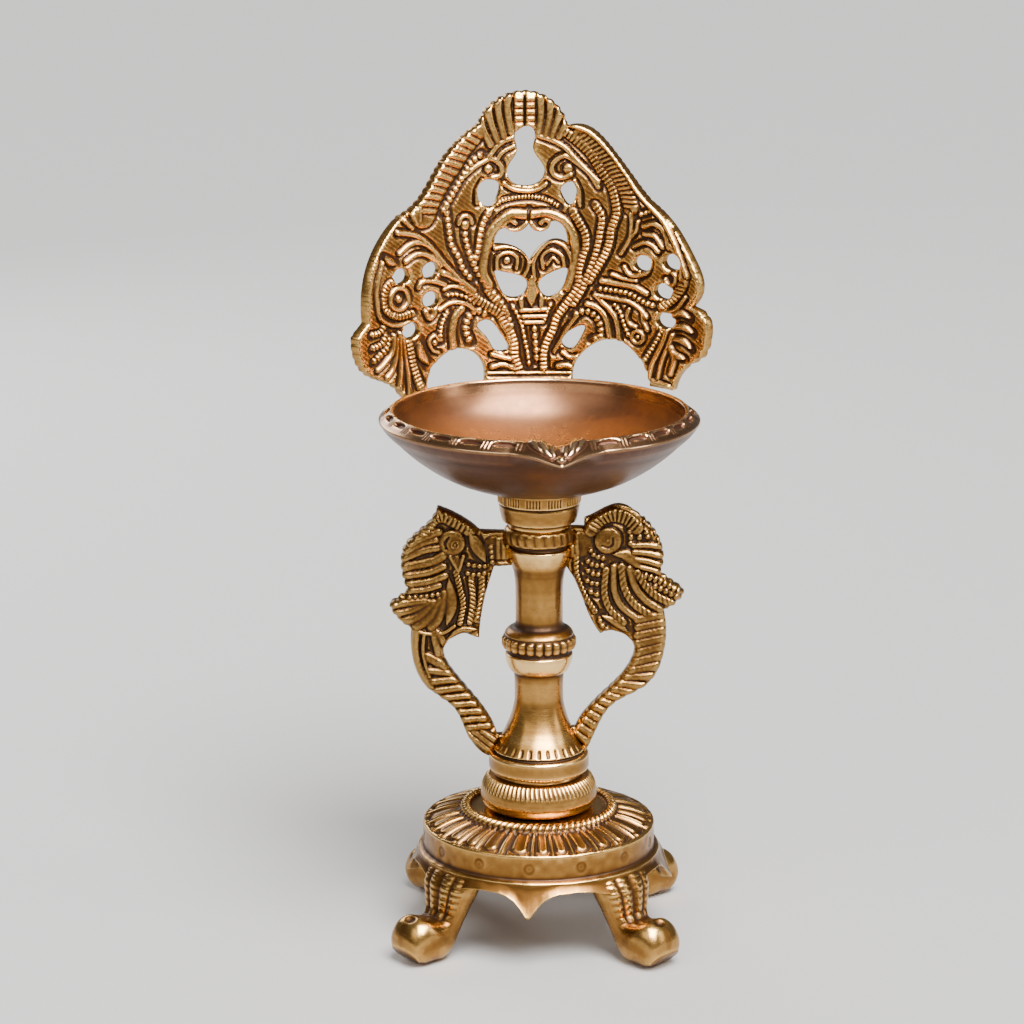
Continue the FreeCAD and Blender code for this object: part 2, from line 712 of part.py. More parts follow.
def check_features():
    for feature in doc.Objects:
        if "Invalid" in feature.State or "Error" in feature.State:
            raise RuntimeError("%s failed: %s" % (feature.Name, feature.State))


def write_parts(pieces):
    """Check each piece's solid and write it to its own STEP file."""
    os.makedirs("parts", exist_ok=True)
    for piece in pieces:
        shape = piece.Shape
        if shape.isNull() or not shape.isValid() or len(shape.Solids) != 1:
            raise RuntimeError("%s is not one valid solid" % piece.Label)
    for piece in pieces:
        piece.Shape.exportStep(os.path.join("parts", piece.Label + ".step"))
        print("%-24s %8.2f cm3" % (piece.Label, piece.Shape.Volume / 1000.0))


fill_sheet()
lamp_pieces = make_lamp()
doc.recompute()
check_features()
write_parts(lamp_pieces)
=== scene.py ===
import math

import bmesh
import bpy
import numpy as np
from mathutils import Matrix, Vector
from mathutils.geometry import delaunay_2d_cdt
from mathutils.kdtree import KDTree


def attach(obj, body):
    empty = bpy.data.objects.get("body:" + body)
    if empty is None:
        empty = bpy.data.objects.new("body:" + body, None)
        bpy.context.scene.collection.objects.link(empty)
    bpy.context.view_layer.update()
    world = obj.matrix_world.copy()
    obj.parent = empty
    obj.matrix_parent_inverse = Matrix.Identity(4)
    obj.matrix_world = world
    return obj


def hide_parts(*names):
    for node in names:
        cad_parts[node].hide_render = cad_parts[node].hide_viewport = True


# A brass standing oil lamp. The shapes below are in millimetres in the row frame and
# become metres when a mesh is made.

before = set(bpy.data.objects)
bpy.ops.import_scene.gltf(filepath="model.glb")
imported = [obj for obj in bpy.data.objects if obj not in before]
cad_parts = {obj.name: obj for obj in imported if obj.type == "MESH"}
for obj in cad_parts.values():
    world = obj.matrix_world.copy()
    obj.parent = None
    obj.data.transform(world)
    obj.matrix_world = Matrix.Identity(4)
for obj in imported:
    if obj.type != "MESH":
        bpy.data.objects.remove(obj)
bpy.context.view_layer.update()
MM = 0.001
TURN = 2.0 * math.pi
MERGE_DISTANCE = 1e-7


# ---------------------------------------------------------------- small maths

def smoothstep(low, high, x):
    t = np.clip((x - low) / (high - low), 0.0, 1.0)
    return t * t * (3.0 - 2.0 * t)


def window(x, low, high, soft):
    """1 between low and high, 0 outside, with soft shoulders."""
    rise = smoothstep(low - soft / 2, low + soft / 2, x)
    return rise * (1.0 - smoothstep(high - soft / 2, high + soft / 2, x))


def dome(t):
    """The height of a half round: 1 where t is 0, and 0 from t = 1 outwards."""
    return np.sqrt(np.clip(1.0 - t, 0.0, 1.0))


def turned_by(x, y, angle):
    """Rotate x and y about the vertical axis."""
    return (x * math.cos(angle) - y * math.sin(angle),
            x * math.sin(angle) + y * math.cos(angle))


def past(angle, start):
    """The signed angle from start, between minus and plus half a turn."""
    return (angle - start + math.pi) % TURN - math.pi


def value_noise(x, y, seed):
    """Smooth deterministic noise from 0 to 1 on a unit grid."""
    def corner(i, j):
        n = np.sin(i * 127.1 + j * 311.7 + seed * 74.7) * 43758.5453
        return n - np.floor(n)

    i, j = np.floor(x), np.floor(y)
    u, v = x - i, y - j
    u = u * u * (3 - 2 * u)
    v = v * v * (3 - 2 * v)
    low = corner(i, j) * (1 - u) + corner(i + 1, j) * u
    high = corner(i, j + 1) * (1 - u) + corner(i + 1, j + 1) * u
    return low * (1 - v) + high * v


def curve_through(points, step=0.25):
    """A smooth curve through points, sampled at a step."""
    p = np.array(points, float)
    if len(p) == 2:
        count = max(2, int(np.linalg.norm(p[1] - p[0]) / step) + 1)
        return p[0] + np.linspace(0, 1, count)[:, None] * (p[1] - p[0])
    ends = np.vstack([2 * p[0] - p[1], p, 2 * p[-1] - p[-2]])
    pieces = []
    for a, b, c, d in zip(ends, ends[1:], ends[2:], ends[3:]):
        count = max(2, int(np.linalg.norm(c - b) / step) + 1)
        t = np.linspace(0, 1, count, endpoint=False)[:, None]
        pieces.append(0.5 * (2 * b + (c - a) * t + (2 * a - 5 * b + 4 * c - d) * t ** 2
                             + (3 * b - a - 3 * c + d) * t ** 3))
    pieces.append(p[-1:])
    return np.vstack(pieces)


def arc_length(points):
    steps = np.linalg.norm(np.diff(points, axis=0), axis=1)
    return np.concatenate([[0.0], np.cumsum(steps)])


FINEST_STEP = 0.05


def respaced(points, step_of, closed=False):
    """Points along a polyline, at a spacing or at the one step_of(places) gives."""
    p = np.array(points, float)
    if closed:
        p = np.vstack([p, p[:1]])
    dense = []
    for a, b in zip(p, p[1:]):
        count = max(1, int(np.linalg.norm(b - a) / FINEST_STEP))
        dense.append(a + np.linspace(0, 1, count, endpoint=False)[:, None] * (b - a))
    dense.append(p[-1:])
    dense = np.vstack(dense)
    middle = 0.5 * (dense[1:] + dense[:-1])
    lengths = np.linalg.norm(np.diff(dense, axis=0), axis=1)
    steps = step_of(middle) if callable(step_of) else np.full(len(middle), step_of)
    progress = np.concatenate([[0.0], np.cumsum(lengths / steps)])
    count = max(3, int(math.ceil(progress[-1])))
    targets = np.linspace(0, progress[-1], count + 1)
    out = np.stack([np.interp(targets, progress, dense[:, k]) for k in (0, 1)], axis=1)
    return out[:-1] if closed else out


# ---------------------------------------------------------------- meshes

def smooth_shaded(mesh):
    mesh.polygons.foreach_set("use_smooth", [True] * len(mesh.polygons))


def read_vectors(collection, attribute):
    """An attribute of three numbers per item, as rows."""
    values = np.empty(len(collection) * 3)
    collection.foreach_get(attribute, values)
    return values.reshape(-1, 3)


def new_object(name, points, faces):
    """A mesh object from points in millimetres."""
    mesh = bpy.data.meshes.new(name)
    scaled = (np.asarray(points, float) * MM).tolist()
    mesh.from_pydata(scaled, [], faces if isinstance(faces, list) else faces.tolist())
    mesh.validate()
    smooth_shaded(mesh)
    mesh.update()
    thing = bpy.data.objects.new(name, mesh)
    bpy.context.scene.collection.objects.link(thing)
    return thing


def face_outward(thing):
    """Merge coincident vertices and turn every face outward."""
    bm = bmesh.new()
    bm.from_mesh(thing.data)
    bmesh.ops.remove_doubles(bm, verts=bm.verts, dist=MERGE_DISTANCE)
    bmesh.ops.dissolve_degenerate(bm, dist=1e-8, edges=bm.edges)
    bmesh.ops.recalc_face_normals(bm, faces=bm.faces)
    bm.to_mesh(thing.data)
    bm.free()
    thing.data.update()


def grid_faces(rows, columns, closed_rows=False):
    """Quads over closed rows of points that are stored row by row."""
    i = np.arange(rows if closed_rows else rows - 1)
    i, j = np.meshgrid(i, np.arange(columns), indexing="ij")
    down = (i + 1) % rows
    across = (j + 1) % columns
    quads = np.stack([i * columns + j, down * columns + j,
                      down * columns + across, i * columns + across], axis=-1)
    return quads.reshape(-1, 4)


def union(base, others):
    """Join closed meshes into one skin."""
    for other in others:
        joiner = base.modifiers.new("join", "BOOLEAN")
        joiner.operation = "UNION"
        joiner.solver = "MANIFOLD"
        joiner.object = other
        bpy.context.view_layer.update()
        depsgraph = bpy.context.evaluated_depsgraph_get()
        joined = bpy.data.meshes.new_from_object(base.evaluated_get(depsgraph))
        base.modifiers.clear()
        base.data = joined
        bpy.data.objects.remove(other)
    smooth_shaded(base.data)
    return base


def both_ways(mesh):
    """The first and the second vertex of every edge, with each edge in both directions."""
    edges = np.empty(len(mesh.edges) * 2, int)
    mesh.edges.foreach_get("vertices", edges)
    edges = edges.reshape(-1, 2)
    return np.concatenate([edges[:, 0], edges[:, 1]]), np.concatenate([edges[:, 1], edges[:, 0]])


# The smoothed surface that crests stand above: passes of smoothing, and the height in
# millimetres that counts as a crest.
FINE_PASSES, FINE_HEIGHT = 6, 0.10
BROAD_PASSES, BROAD_HEIGHT = 50, 0.45
# Sparse meshes get less wear and painted shade, because their points say little about small
# relief.
FULL_WEAR_AND_SHADE_SPACING = 0.45


def paint_wear_and_shade(thing, broad=BROAD_HEIGHT, bias=0.0, tone=None):
    """Store how exposed each point is: 1 on rubbed crests, 0 in hollows, whose darkness is patina
    and painted shade.

    tone(points, normals) adds a further tone for each point, with painted light and shade among
    it."""
    mesh = thing.data
    count = len(mesh.vertices)
    co = read_vectors(mesh.vertices, "co") / MM
    normals = read_vectors(mesh.vertex_normals, "vector")
    ends, others = both_ways(mesh)
    share = 1.0 / np.maximum(np.bincount(ends, minlength=count), 1)
    lengths = np.linalg.norm(co[ends] - co[others], axis=1)
    spacing = np.bincount(ends, lengths, count) * share
    fineness = np.clip(FULL_WEAR_AND_SHADE_SPACING / np.maximum(spacing, 0.01), 0.0, 1.0) ** 3
    smooth = co.copy()
    exposure = np.zeros(count)
    done = 0
    for passes, scale in ((FINE_PASSES, FINE_HEIGHT), (BROAD_PASSES, broad)):
        while done < passes:
            around = np.stack([np.bincount(ends, smooth[others, k], count) * share
                               for k in range(3)], axis=1)
            smooth += 0.7 * (around - smooth)
            done += 1
        height = ((co - smooth) * normals).sum(axis=1)
        exposure += np.tanh(height * fineness / scale)
    # the hollows' darkness is patina and painted shade; the crests' brightness is rubbing
    wear_and_shade = np.clip(0.5 + 0.32 * exposure + bias, 0.0, 1.0)
    if tone is not None:
        wear_and_shade = np.clip(wear_and_shade + tone(co, normals), 0.0, 1.0)
    layer = mesh.attributes.new("wear_and_shade", "FLOAT", "POINT")
    layer.data.foreach_set("value", wear_and_shade.astype(np.float32))


# ---------------------------------------------------------------- materials

def node(tree, kind, inputs=None, **settings):
    """A new shader node with its settings and the values of its inputs."""
    made = tree.nodes.new(kind)
    for key, setting in settings.items():
        setattr(made, key, setting)
    for key, setting in (inputs or {}).items():
        made.inputs[key].default_value = setting
    return made


def ramp(tree, source, stops):
    """Map a value through (place, colour or grey level) stops."""
    made = tree.nodes.new("ShaderNodeValToRGB")
    elements = made.color_ramp.elements
    while len(elements) < len(stops):
        elements.new(0.5)
    for element, (place, colour) in zip(elements, stops):
        element.position = place
        if not isinstance(colour, tuple):
            colour = (colour, colour, colour)
        element.color = colour + (1.0,)
    tree.links.new(source, made.inputs["Fac"])
    return made.outputs["Color"]


def add_values(tree, first, second, weight, offset=0.0):
    """first + weight * second + offset, clamped."""
    product = node(tree, "ShaderNodeMath", {1: weight, 2: offset}, operation="MULTIPLY_ADD")
    tree.links.new(second, product.inputs[0])
    total = node(tree, "ShaderNodeMath", operation="ADD", use_clamp=True)
    tree.links.new(first, total.inputs[0])
    tree.links.new(product.outputs[0], total.inputs[1])
    return total.outputs[0]


def noise_value(tree, coordinates, scale, detail, rough):
    made = node(tree, "ShaderNodeTexNoise",
                {"Scale": scale, "Detail": detail, "Roughness": rough})
    tree.links.new(coordinates, made.inputs["Vector"])
    return made.outputs["Fac"]


def stretched(tree, coordinates, scale):
    mapping = node(tree, "ShaderNodeMapping", {"Scale": scale})
    tree.links.new(coordinates, mapping.inputs["Vector"])
    return mapping.outputs["Vector"]


WEAR_AND_SHADE_STOPS = (0.08, 0.32, 0.52, 0.72, 0.95)
PLAIN_WEAR_AND_SHADE = 0.62
PATINA = 0.26
SPECKLE = 0.16
BUMP_DEPTH = 0.00012


def brass(name, colours, rough, has_wear_and_shade=True, brushed=0.0, bump=0.25, streaky=0.10):
    """Brass that is dark in its hollows, with patina and painted shade, and rubbed bright on its
    crests.

    The five colours and the three rough values run from hollows to crests."""
    material = bpy.data.materials.new(name)
    material.use_nodes = True
    tree = material.node_tree
    tree.nodes.clear()
    place = node(tree, "ShaderNodeTexCoord").outputs["Object"]
    blotches = noise_value(tree, place, 95.0, 5.0, 0.6)
    specks = noise_value(tree, place, 620.0, 3.0, 0.6)
    # the stored value, and worn after it, darken hollows with patina and painted shade and
    # brighten rubbed crests
    if has_wear_and_shade:
        exposed = node(tree, "ShaderNodeAttribute", attribute_name="wear_and_shade").outputs["Fac"]
    else:
        exposed = node(tree, "ShaderNodeValue").outputs[0]
        exposed.default_value = PLAIN_WEAR_AND_SHADE
    worn = add_values(tree, exposed, blotches, PATINA, -0.5 * PATINA)
    worn = add_values(tree, worn, specks, SPECKLE, -0.5 * SPECKLE)
    colour = ramp(tree, worn, list(zip(WEAR_AND_SHADE_STOPS, colours)))
    roughness = ramp(tree, worn, list(zip((0.1, 0.5, 0.9), rough)))
    streak_place = stretched(tree, place, (260.0, 260.0, 5200.0))
    streaks = noise_value(tree, streak_place, 1.0, 2.0, 0.5)
    grains = noise_value(tree, place, 1800.0, 4.0, 0.65)
    dents = noise_value(tree, place, 260.0, 3.0, 0.5)
    roughness = add_values(tree, roughness, streaks, streaky + brushed * 0.2, -0.5 * streaky)
    metal = ramp(tree, worn, [(0.05, 0.75), (0.4, 1.0)])
    surface = node(tree, "ShaderNodeBsdfPrincipled")
    tree.links.new(colour, surface.inputs["Base Color"])
    tree.links.new(roughness, surface.inputs["Roughness"])
    tree.links.new(metal, surface.inputs["Metallic"])
    relief = add_values(tree, grains, dents, 0.8, -0.1)
    relief = add_values(tree, relief, streaks, brushed, 0.0)
    bumps = node(tree, "ShaderNodeBump", {"Strength": bump, "Distance": BUMP_DEPTH})
    tree.links.new(relief, bumps.inputs["Height"])
    tree.links.new(bumps.outputs["Normal"], surface.inputs["Normal"])
    output = node(tree, "ShaderNodeOutputMaterial")
    tree.links.new(surface.outputs["BSDF"], output.inputs["Surface"])
    return material


ANTIQUE = ((0.030, 0.012, 0.004), (0.085, 0.034, 0.008), (0.165, 0.073, 0.017),
           (0.27, 0.133, 0.033), (0.54, 0.320, 0.095))
AGED = ((0.026, 0.011, 0.004), (0.062, 0.026, 0.007), (0.100, 0.045, 0.011),
        (0.15, 0.074, 0.019), (0.30, 0.170, 0.050))
TURNED = ((0.036, 0.015, 0.005), (0.12, 0.052, 0.012), (0.23, 0.112, 0.027),
          (0.42, 0.222, 0.060), (0.84, 0.54, 0.20))
POLISHED = ((0.065, 0.024, 0.011), (0.16, 0.070, 0.032), (0.25, 0.126, 0.060),
            (0.43, 0.235, 0.118), (0.80, 0.54, 0.30))
MACHINED = ((0.16, 0.080, 0.022), (0.36, 0.190, 0.055), (0.54, 0.310, 0.095),
            (0.68, 0.420, 0.145), (0.84, 0.58, 0.24))

cast_brass = brass("cast_brass", ANTIQUE, (0.50, 0.32, 0.23))
aged_brass = brass("aged_brass", AGED, (0.52, 0.38, 0.28))
turned_brass = brass("turned_brass", TURNED, (0.46, 0.28, 0.20), brushed=0.35, bump=0.16)
bowl_brass = brass("bowl_brass", POLISHED, (0.40, 0.22, 0.165), bump=0.004, streaky=0.0)
fastener_brass = brass("fastener_brass", MACHINED, (0.42, 0.30, 0.24), has_wear_and_shade=False,
                       brushed=0.4, bump=0.12)


def give_material(thing, material):
    thing.data.materials.clear()
    thing.data.materials.append(material)


def dress(thing, material, body, node_name):
    """Give a piece its material and its body, and hide the CAD node it stands for."""
    give_material(thing, material)
    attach(thing, body)
    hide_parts(node_name)


# ---------------------------------------------------------------- turned parts

AXIS_SLACK = 1e-3


def cut_links(name, direction):
    """The (radius, height) points that a half plane's cut through a CAD node joins."""
    normal = Vector((-direction.y, direction.x, 0))
    bm = bmesh.new()
    bm.from_mesh(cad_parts[name].data)
    bmesh.ops.remove_doubles(bm, verts=bm.verts, dist=MERGE_DISTANCE)
    result = bmesh.ops.bisect_plane(bm, geom=bm.verts[:] + bm.edges[:] + bm.faces[:],
                                    dist=1e-9, plane_co=(0, 0, 0), plane_no=normal)
    links = {}
    for edge in result["geom_cut"]:
        if not isinstance(edge, bmesh.types.BMEdge):
            continue
        a, b = [(v.co.dot(direction) / MM, v.co.z / MM) for v in edge.verts]
        if max(a[0], b[0]) < AXIS_SLACK:
            continue
        if min(a[0], b[0]) < -AXIS_SLACK:
            # the edge crosses the axis and ends there
            share = a[0] / (a[0] - b[0])
            a, b = max(a, b), (0.0, a[1] + share * (b[1] - a[1]))
        a, b = [(round(max(p[0], 0.0), 3), round(p[1], 3)) for p in (a, b)]
        if a != b:
            links.setdefault(a, set()).add(b)
            links.setdefault(b, set()).add(a)
    bm.free()
    return links


def half_section(name, degrees):
    """The outline of a turned CAD node in one half plane through the axis.

    Returns (radius, height) points in millimetres, anticlockwise, and whether it closes."""
    turn = math.radians(degrees)
    links = cut_links(name, Vector((math.cos(turn), math.sin(turn), 0)))
    ends = sorted(k for k, n in links.items() if len(n) == 1)
    path = [ends[0] if ends else max(links)]
    onward = links[path[0]]
    while onward:
        path.append(max(onward))
        onward = links[path[-1]].difference(path)
    loop = np.array(path)
    r, z = loop[:, 0], loop[:, 1]
    area = np.sum(r * np.roll(z, -1) - np.roll(r, -1) * z)
    if area < 0:
        loop = loop[::-1]
    return loop, not ends


def turned(name, node_name, columns, step_of, relief, degrees=0.0, shape=None, edit=None):
    """A closed turned mesh on a CAD node's own outline, with relief along its normals.

    relief(r, z, angle, outwardness) gives millimetres. edit may change the outline
    before that, and shape may move the points after it."""
    loop, closed = half_section(node_name, degrees)
    if edit is not None:
        loop = edit(loop)
    rows = respaced(loop, step_of, closed)
    if closed:
        along = np.roll(rows, -1, axis=0) - np.roll(rows, 1, axis=0)
    else:
        along = np.gradient(rows, axis=0)
    length = np.maximum(np.linalg.norm(along, axis=1), 1e-9)
    normal = np.stack([along[:, 1], -along[:, 0]], axis=1) / length[:, None]
    angle = np.arange(columns) * TURN / columns
    r = np.repeat(rows[:, :1], columns, axis=1)
    z = np.repeat(rows[:, 1:], columns, axis=1)
    a = np.repeat(angle[None, :], len(rows), axis=0)
    out = np.repeat(normal[:, :1], columns, axis=1)
    height = relief(r, z, a, out)
    r2 = np.maximum(r + normal[:, :1] * height, 0.0)
    z2 = z + normal[:, 1:] * height
    if shape is not None:
        r2, z2 = shape(r2, z2, a, out)
    points = np.stack([r2 * np.cos(a), r2 * np.sin(a), z2], axis=-1).reshape(-1, 3)
    faces = grid_faces(len(rows), columns, closed_rows=closed)
    thing = new_object(name, points, faces)
    face_outward(thing)
    return thing


def knob_teeth(z, a, low, high, count, height):
    """Upright round beads side by side in a band."""
    upright = np.abs(np.cos(a * count / 2.0)) ** 0.6
    middle = (z - 0.5 * (low + high)) / (0.5 * (high - low))
    return window(z, low, high, 0.5) * height * (upright * dome(middle ** 4) - 0.6)


# Lowest and highest levels of the bands with relief.
SPACER_STROKES = (41.9, 45.0)
BELL_NOTCHES = (53.1, 54.9)
KNOB_BEADS = (81.5, 85.4)
KNOB_GROOVE = (85.5, 85.9)
SHAFT_MARKS = (88.0, 103.0)
TOP_RING_LOBES = (112.7, 115.7)
SOCKET_GROOVE = (122.9, 123.3)
SOCKET_BAND = (124.0, 126.2)


def stem_step(p):
    """Small steps along the bands with relief and at the edges, large ones inside."""
    fine = (window(p[:, 1], 51.0, 59.5, 1.0) + window(p[:, 1], 79.5, 88.5, 1.0)
            + window(p[:, 1], 110.0, 117.0, 0.5) + window(p[:, 1], 46, 53, 0.5))
    fine = np.clip(fine, 0, 1) * (p[:, 0] > 6.0)
    edge = window(p[:, 1], 103, 112, 1.0) + window(p[:, 1], 73, 80, 1.0)
    step = 1.1 - 0.82 * np.clip(fine, 0, 1) - 0.6 * np.clip(edge, 0, 1) * (1 - fine)
    return np.where(p[:, 0] < 5.5, 3.0, step)


def stem_relief(r, z, a, out):
    """Lobes, beads and notches round the stem, and marks from the lathe."""
    outside = (r > 6.2) * (out > -0.2)
    h = np.zeros_like(r)
    # worn lobes on the top ring
    petal = np.abs(np.sin(a * 11.0 + (z - 114.2) * 0.16))
    lasting = 0.45 + 0.55 * value_noise(a * 22.0 / TURN, z * 0.5, 4)
    h += window(z, *TOP_RING_LOBES, 0.6) * (0.50 * petal * lasting - 0.28)
    # upright beads on the knob, under a plain ring
    h += knob_teeth(z, a, *KNOB_BEADS, 24, 1.0)
    h -= 0.30 * window(z, *KNOB_GROOVE, 0.3)
    # worn notches in a row above the bell's rim
    unit = (a * 30 / TURN) % 1.0 - 0.5
    worn = value_noise(a * 30 / TURN, z * 0.2, 9)
    notch = np.clip(1.0 - (unit / 0.24) ** 2, 0.0, 1.0) * smoothstep(0.15, 0.55, worn)
    h -= window(z, *BELL_NOTCHES, 0.7) * 0.32 * notch * (r > 9)
    # turning marks on the shaft
    h += 0.012 * np.sin(z * 9.0) * window(z, *SHAFT_MARKS, 1.0)
    h += 0.10 * (value_noise(a * 28.0 / TURN, z * 0.25, 3) - 0.5)
    return h * outside


def spacer_relief(r, z, a, out):
    """Leaning strokes round the middle of the spacer."""
    h = np.zeros_like(r)
    strokes = np.abs(np.sin(a * 36.0 + (z - 43.0) * 0.30)) ** 0.8
    h += window(z, *SPACER_STROKES, 0.8) * 0.50 * (strokes - 0.6)
    h += 0.08 * (value_noise(a * 54.0 / TURN, z * 0.5, 5) - 0.5)
    return h * (r > 11.0) * (out > -0.6)


def socket_relief(r, z, a, out):
    """An incised band of wide blocks between groups of narrow notches."""
    h = np.zeros_like(r)
    unit = (a * 12.0 / TURN) % 1.0
    block = (unit < 0.42) * 1.0
    comb = np.abs(np.sin((unit - 0.42) / 0.58 * math.pi * 4.0)) ** 0.6 * (unit >= 0.42)
    block = block * smoothstep(0.0, 0.05, unit) * smoothstep(0.42, 0.37, unit)
    h += window(z, *SOCKET_BAND, 0.3) * (0.42 * np.maximum(block, comb * 0.9) - 0.42)
    h -= 0.35 * window(z, *SOCKET_GROOVE, 0.3)
    h += 0.05 * (value_noise(a * 48.0 / TURN, z, 7) - 0.5)
    return h * (r > 9.0) * (out > 0.2)


def socket_step(p):
    return np.where(p[:, 0] < 8.0, 2.0, 0.28)


# ---------------------------------------------------------------- bowl

SPOUT_ANGLE = math.radians(6.0) - math.pi / 2
RIM_RADIUS = 44.0
# The band under the lip: its lowest level, its inner radius and its width.
BAND_LEVEL = 146.0
BAND_START = 40.9
BAND_WIDTH = 2.8
CRESCENT_COUNT = 28.0
# The spout: half its width at the rim, how far it is drawn out and down, and how far its
# two leaves reach to each side.
SPOUT_HALF = 13.0
SPOUT_PULL = 8.4
SPOUT_DROP = 1.4
LEAF_REACH = 8.8


def bowl_step(p):
    r = np.maximum(p[:, 0], 0.1)
    rim = (r > 38.8) & (p[:, 1] > 143.5)
    return np.where(rim, 0.22, 0.9)


def fair_inside(loop):
    """Ease the bowl's inner wall where its two arcs meet."""
    rows = respaced(loop, 0.25)
    lip = rows[:, 1].argmax()
    inner = np.arange(len(rows)) > lip + 8
    for _ in range(200):
        middle = rows.copy()
        middle[1:-1] = 0.5 * (rows[2:] + rows[:-2])
        rows[inner] += 0.5 * (middle - rows)[inner]
    return rows


def crescents(away, across):
    """Where each place lies in its repeat round the rim, and how deep in a crescent."""
    swag = (away * CRESCENT_COUNT / TURN) % 1.0 - 0.5
    lens = 1.0 - (swag / 0.38) ** 2 - ((across - 0.24 - 0.5 * swag ** 2) / 0.27) ** 2
    return swag, smoothstep(0.0, 0.35, lens)


def bowl_tone(p, n):
    """Painted shade on the faces that look sideways or down, only a little darkening on those that
    look up, and dark crescents round the rim.
    """
    r = np.hypot(p[:, 0], p[:, 1])
    away = past(np.arctan2(p[:, 1], p[:, 0]), SPOUT_ANGLE)
    hollow = crescents(away, (r - BAND_START) / BAND_WIDTH)[1]
    hollow = hollow * (np.abs(away) * RIM_RADIUS > LEAF_REACH) * (p[:, 2] > BAND_LEVEL)
    # painted shade: faces that look sideways or down are darkened
    return np.where(n[:, 2] < 0.05, -0.42, -0.03) - 0.75 * hollow


def bowl_relief(r, z, a, out):
    """Crescents punched under the lip, ribs between them and two leaves at the spout."""
    above = (z > BAND_LEVEL) * (out > -0.1)
    rim = window(r, BAND_START, 43.7, 0.5) * above
    across = (r - BAND_START) / BAND_WIDTH
    away = past(a, SPOUT_ANGLE)
    swag, hollow = crescents(away, across)
    ribs = 0.5 + 0.5 * np.cos(away * CRESCENT_COUNT * 9.0 + across * 4.0)
    knot = smoothstep(0.28, 0.40, np.abs(swag)) * window(across, 0.1, 0.8, 0.3)
    plain = rim * (0.22 * knot * (ribs - 0.5) - 0.95 * hollow)
    side = np.abs(away) * RIM_RADIUS
    lobe = ((side - 4.4) / 3.9) ** 2 + ((r - 41.3 + 0.12 * side) / 1.7) ** 2
    leaf_ribs = np.abs(np.sin((side * 0.9 + across * 2.6) * 1.3)) ** 0.8
    leaf = 1.35 * dome(lobe) * (0.62 + 0.38 * leaf_ribs)
    knob = (side / 1.6) ** 2 + ((r - 42.7) / 0.9) ** 2
    leaf = leaf + 1.2 * dome(knob)
    return np.where(side < LEAF_REACH, above * leaf, plain)


def bowl_shape(r, z, a, out):
    """Draw the rim out into the pointed spout with its shallow channel."""
    offset = np.abs(past(a, SPOUT_ANGLE)) * RIM_RADIUS
    pull = np.clip(1.0 - offset / SPOUT_HALF, 0, 1) ** 1.45
    radial = smoothstep(39.0, 43.6, r)
    r2 = r + SPOUT_PULL * pull * radial * smoothstep(141.5, 146.6, z)
    drop = smoothstep(0.2, 1.0, pull) * radial * smoothstep(144.0, 147.0, z)
    channel = np.clip(1.0 - offset / 4.6, 0, 1) * window(r2, 39.6, 50.0, 1.6)
    return r2, z - SPOUT_DROP * drop - 0.9 * channel * smoothstep(147.0, 148.6, z)


# ---------------------------------------------------------------- flat castings with relief

OUTLINE_STEP = 0.36
PLAIN_BACK_SPACING = 1.4
STROKE_STEP = 0.2
# Ground this far from every stroke rises to an island with fine hatching on it.
ISLAND_START, ISLAND_TOP = 0.25, 0.95
ISLAND_RISE = 0.55
HATCH_DEPTH = 0.10
HATCH_PITCH = TURN / 3.4
FAR_FROM_STROKES = 9.0


def border_sides(mesh, keys, on_face):
    """The sides round the marked points' faces, as pairs of keys in walking order."""
    sides = {}
    for polygon in mesh.polygons:
        corners = list(polygon.vertices)
        if not on_face[corners].all():
            continue
        for a, b in zip(corners, corners[1:] + corners[:1]):
            a, b = keys[a], keys[b]
            if (b, a) in sides:
                # two faces share this side, so it isn't on the border
                del sides[b, a]
            elif a != b:
                sides[a, b] = True
    return sides


def flat_loops(node_name, place, keep):
    """The outlines of one face of a CAD node, the outer one first.

    place gives points (across, up, depth) in millimetres; keep says which are on the face."""
    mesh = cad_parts[node_name].data
    local = place(read_vectors(mesh.vertices, "co") / MM)
    keys = [tuple(k) for k in np.round(local[:, :2], 3)]
    onward = {}
    for a, b in border_sides(mesh, keys, keep(local)):
        onward.setdefault(a, []).append(b)
    loops = []
    while onward:
        start = min(onward)
        loop = [start]
        while True:
            nexts = onward.get(loop[-1])
            if not nexts:
                break
            following = nexts.pop()
            if not nexts:
                del onward[loop[-1]]
            if following == start:
                break
            loop.append(following)
        if len(loop) > 3:
            loops.append(np.array(loop))
    loops.sort(key=lambda loop: -np.ptp(loop[:, 0]) * np.ptp(loop[:, 1]))
    return loops


def inside_loops(points, loops):
    """Which points lie inside an outline with holes."""
    inside = np.zeros(len(points), bool)
    x, y = points[:, 0], points[:, 1]
    for loop in loops:
        for a, b in zip(loop, np.roll(loop, -1, axis=0)):
            if a[1] == b[1]:
                continue
            crosses = (a[1] > y) != (b[1] > y)
            inside ^= crosses & (x < a[0] + (y - a[1]) / (b[1] - a[1]) * (b[0] - a[0]))
    return inside


def distance_to_loops(points, loops):
    """How far each point is from the nearest point of the outlines."""
    tree = KDTree(sum(len(loop) for loop in loops))
    index = 0
    for loop in loops:
        for x, y in loop:
            tree.insert((x, y, 0.0), index)
            index += 1
    tree.balance()
    return np.array([tree.find((x, y, 0.0))[2] for x, y in points])


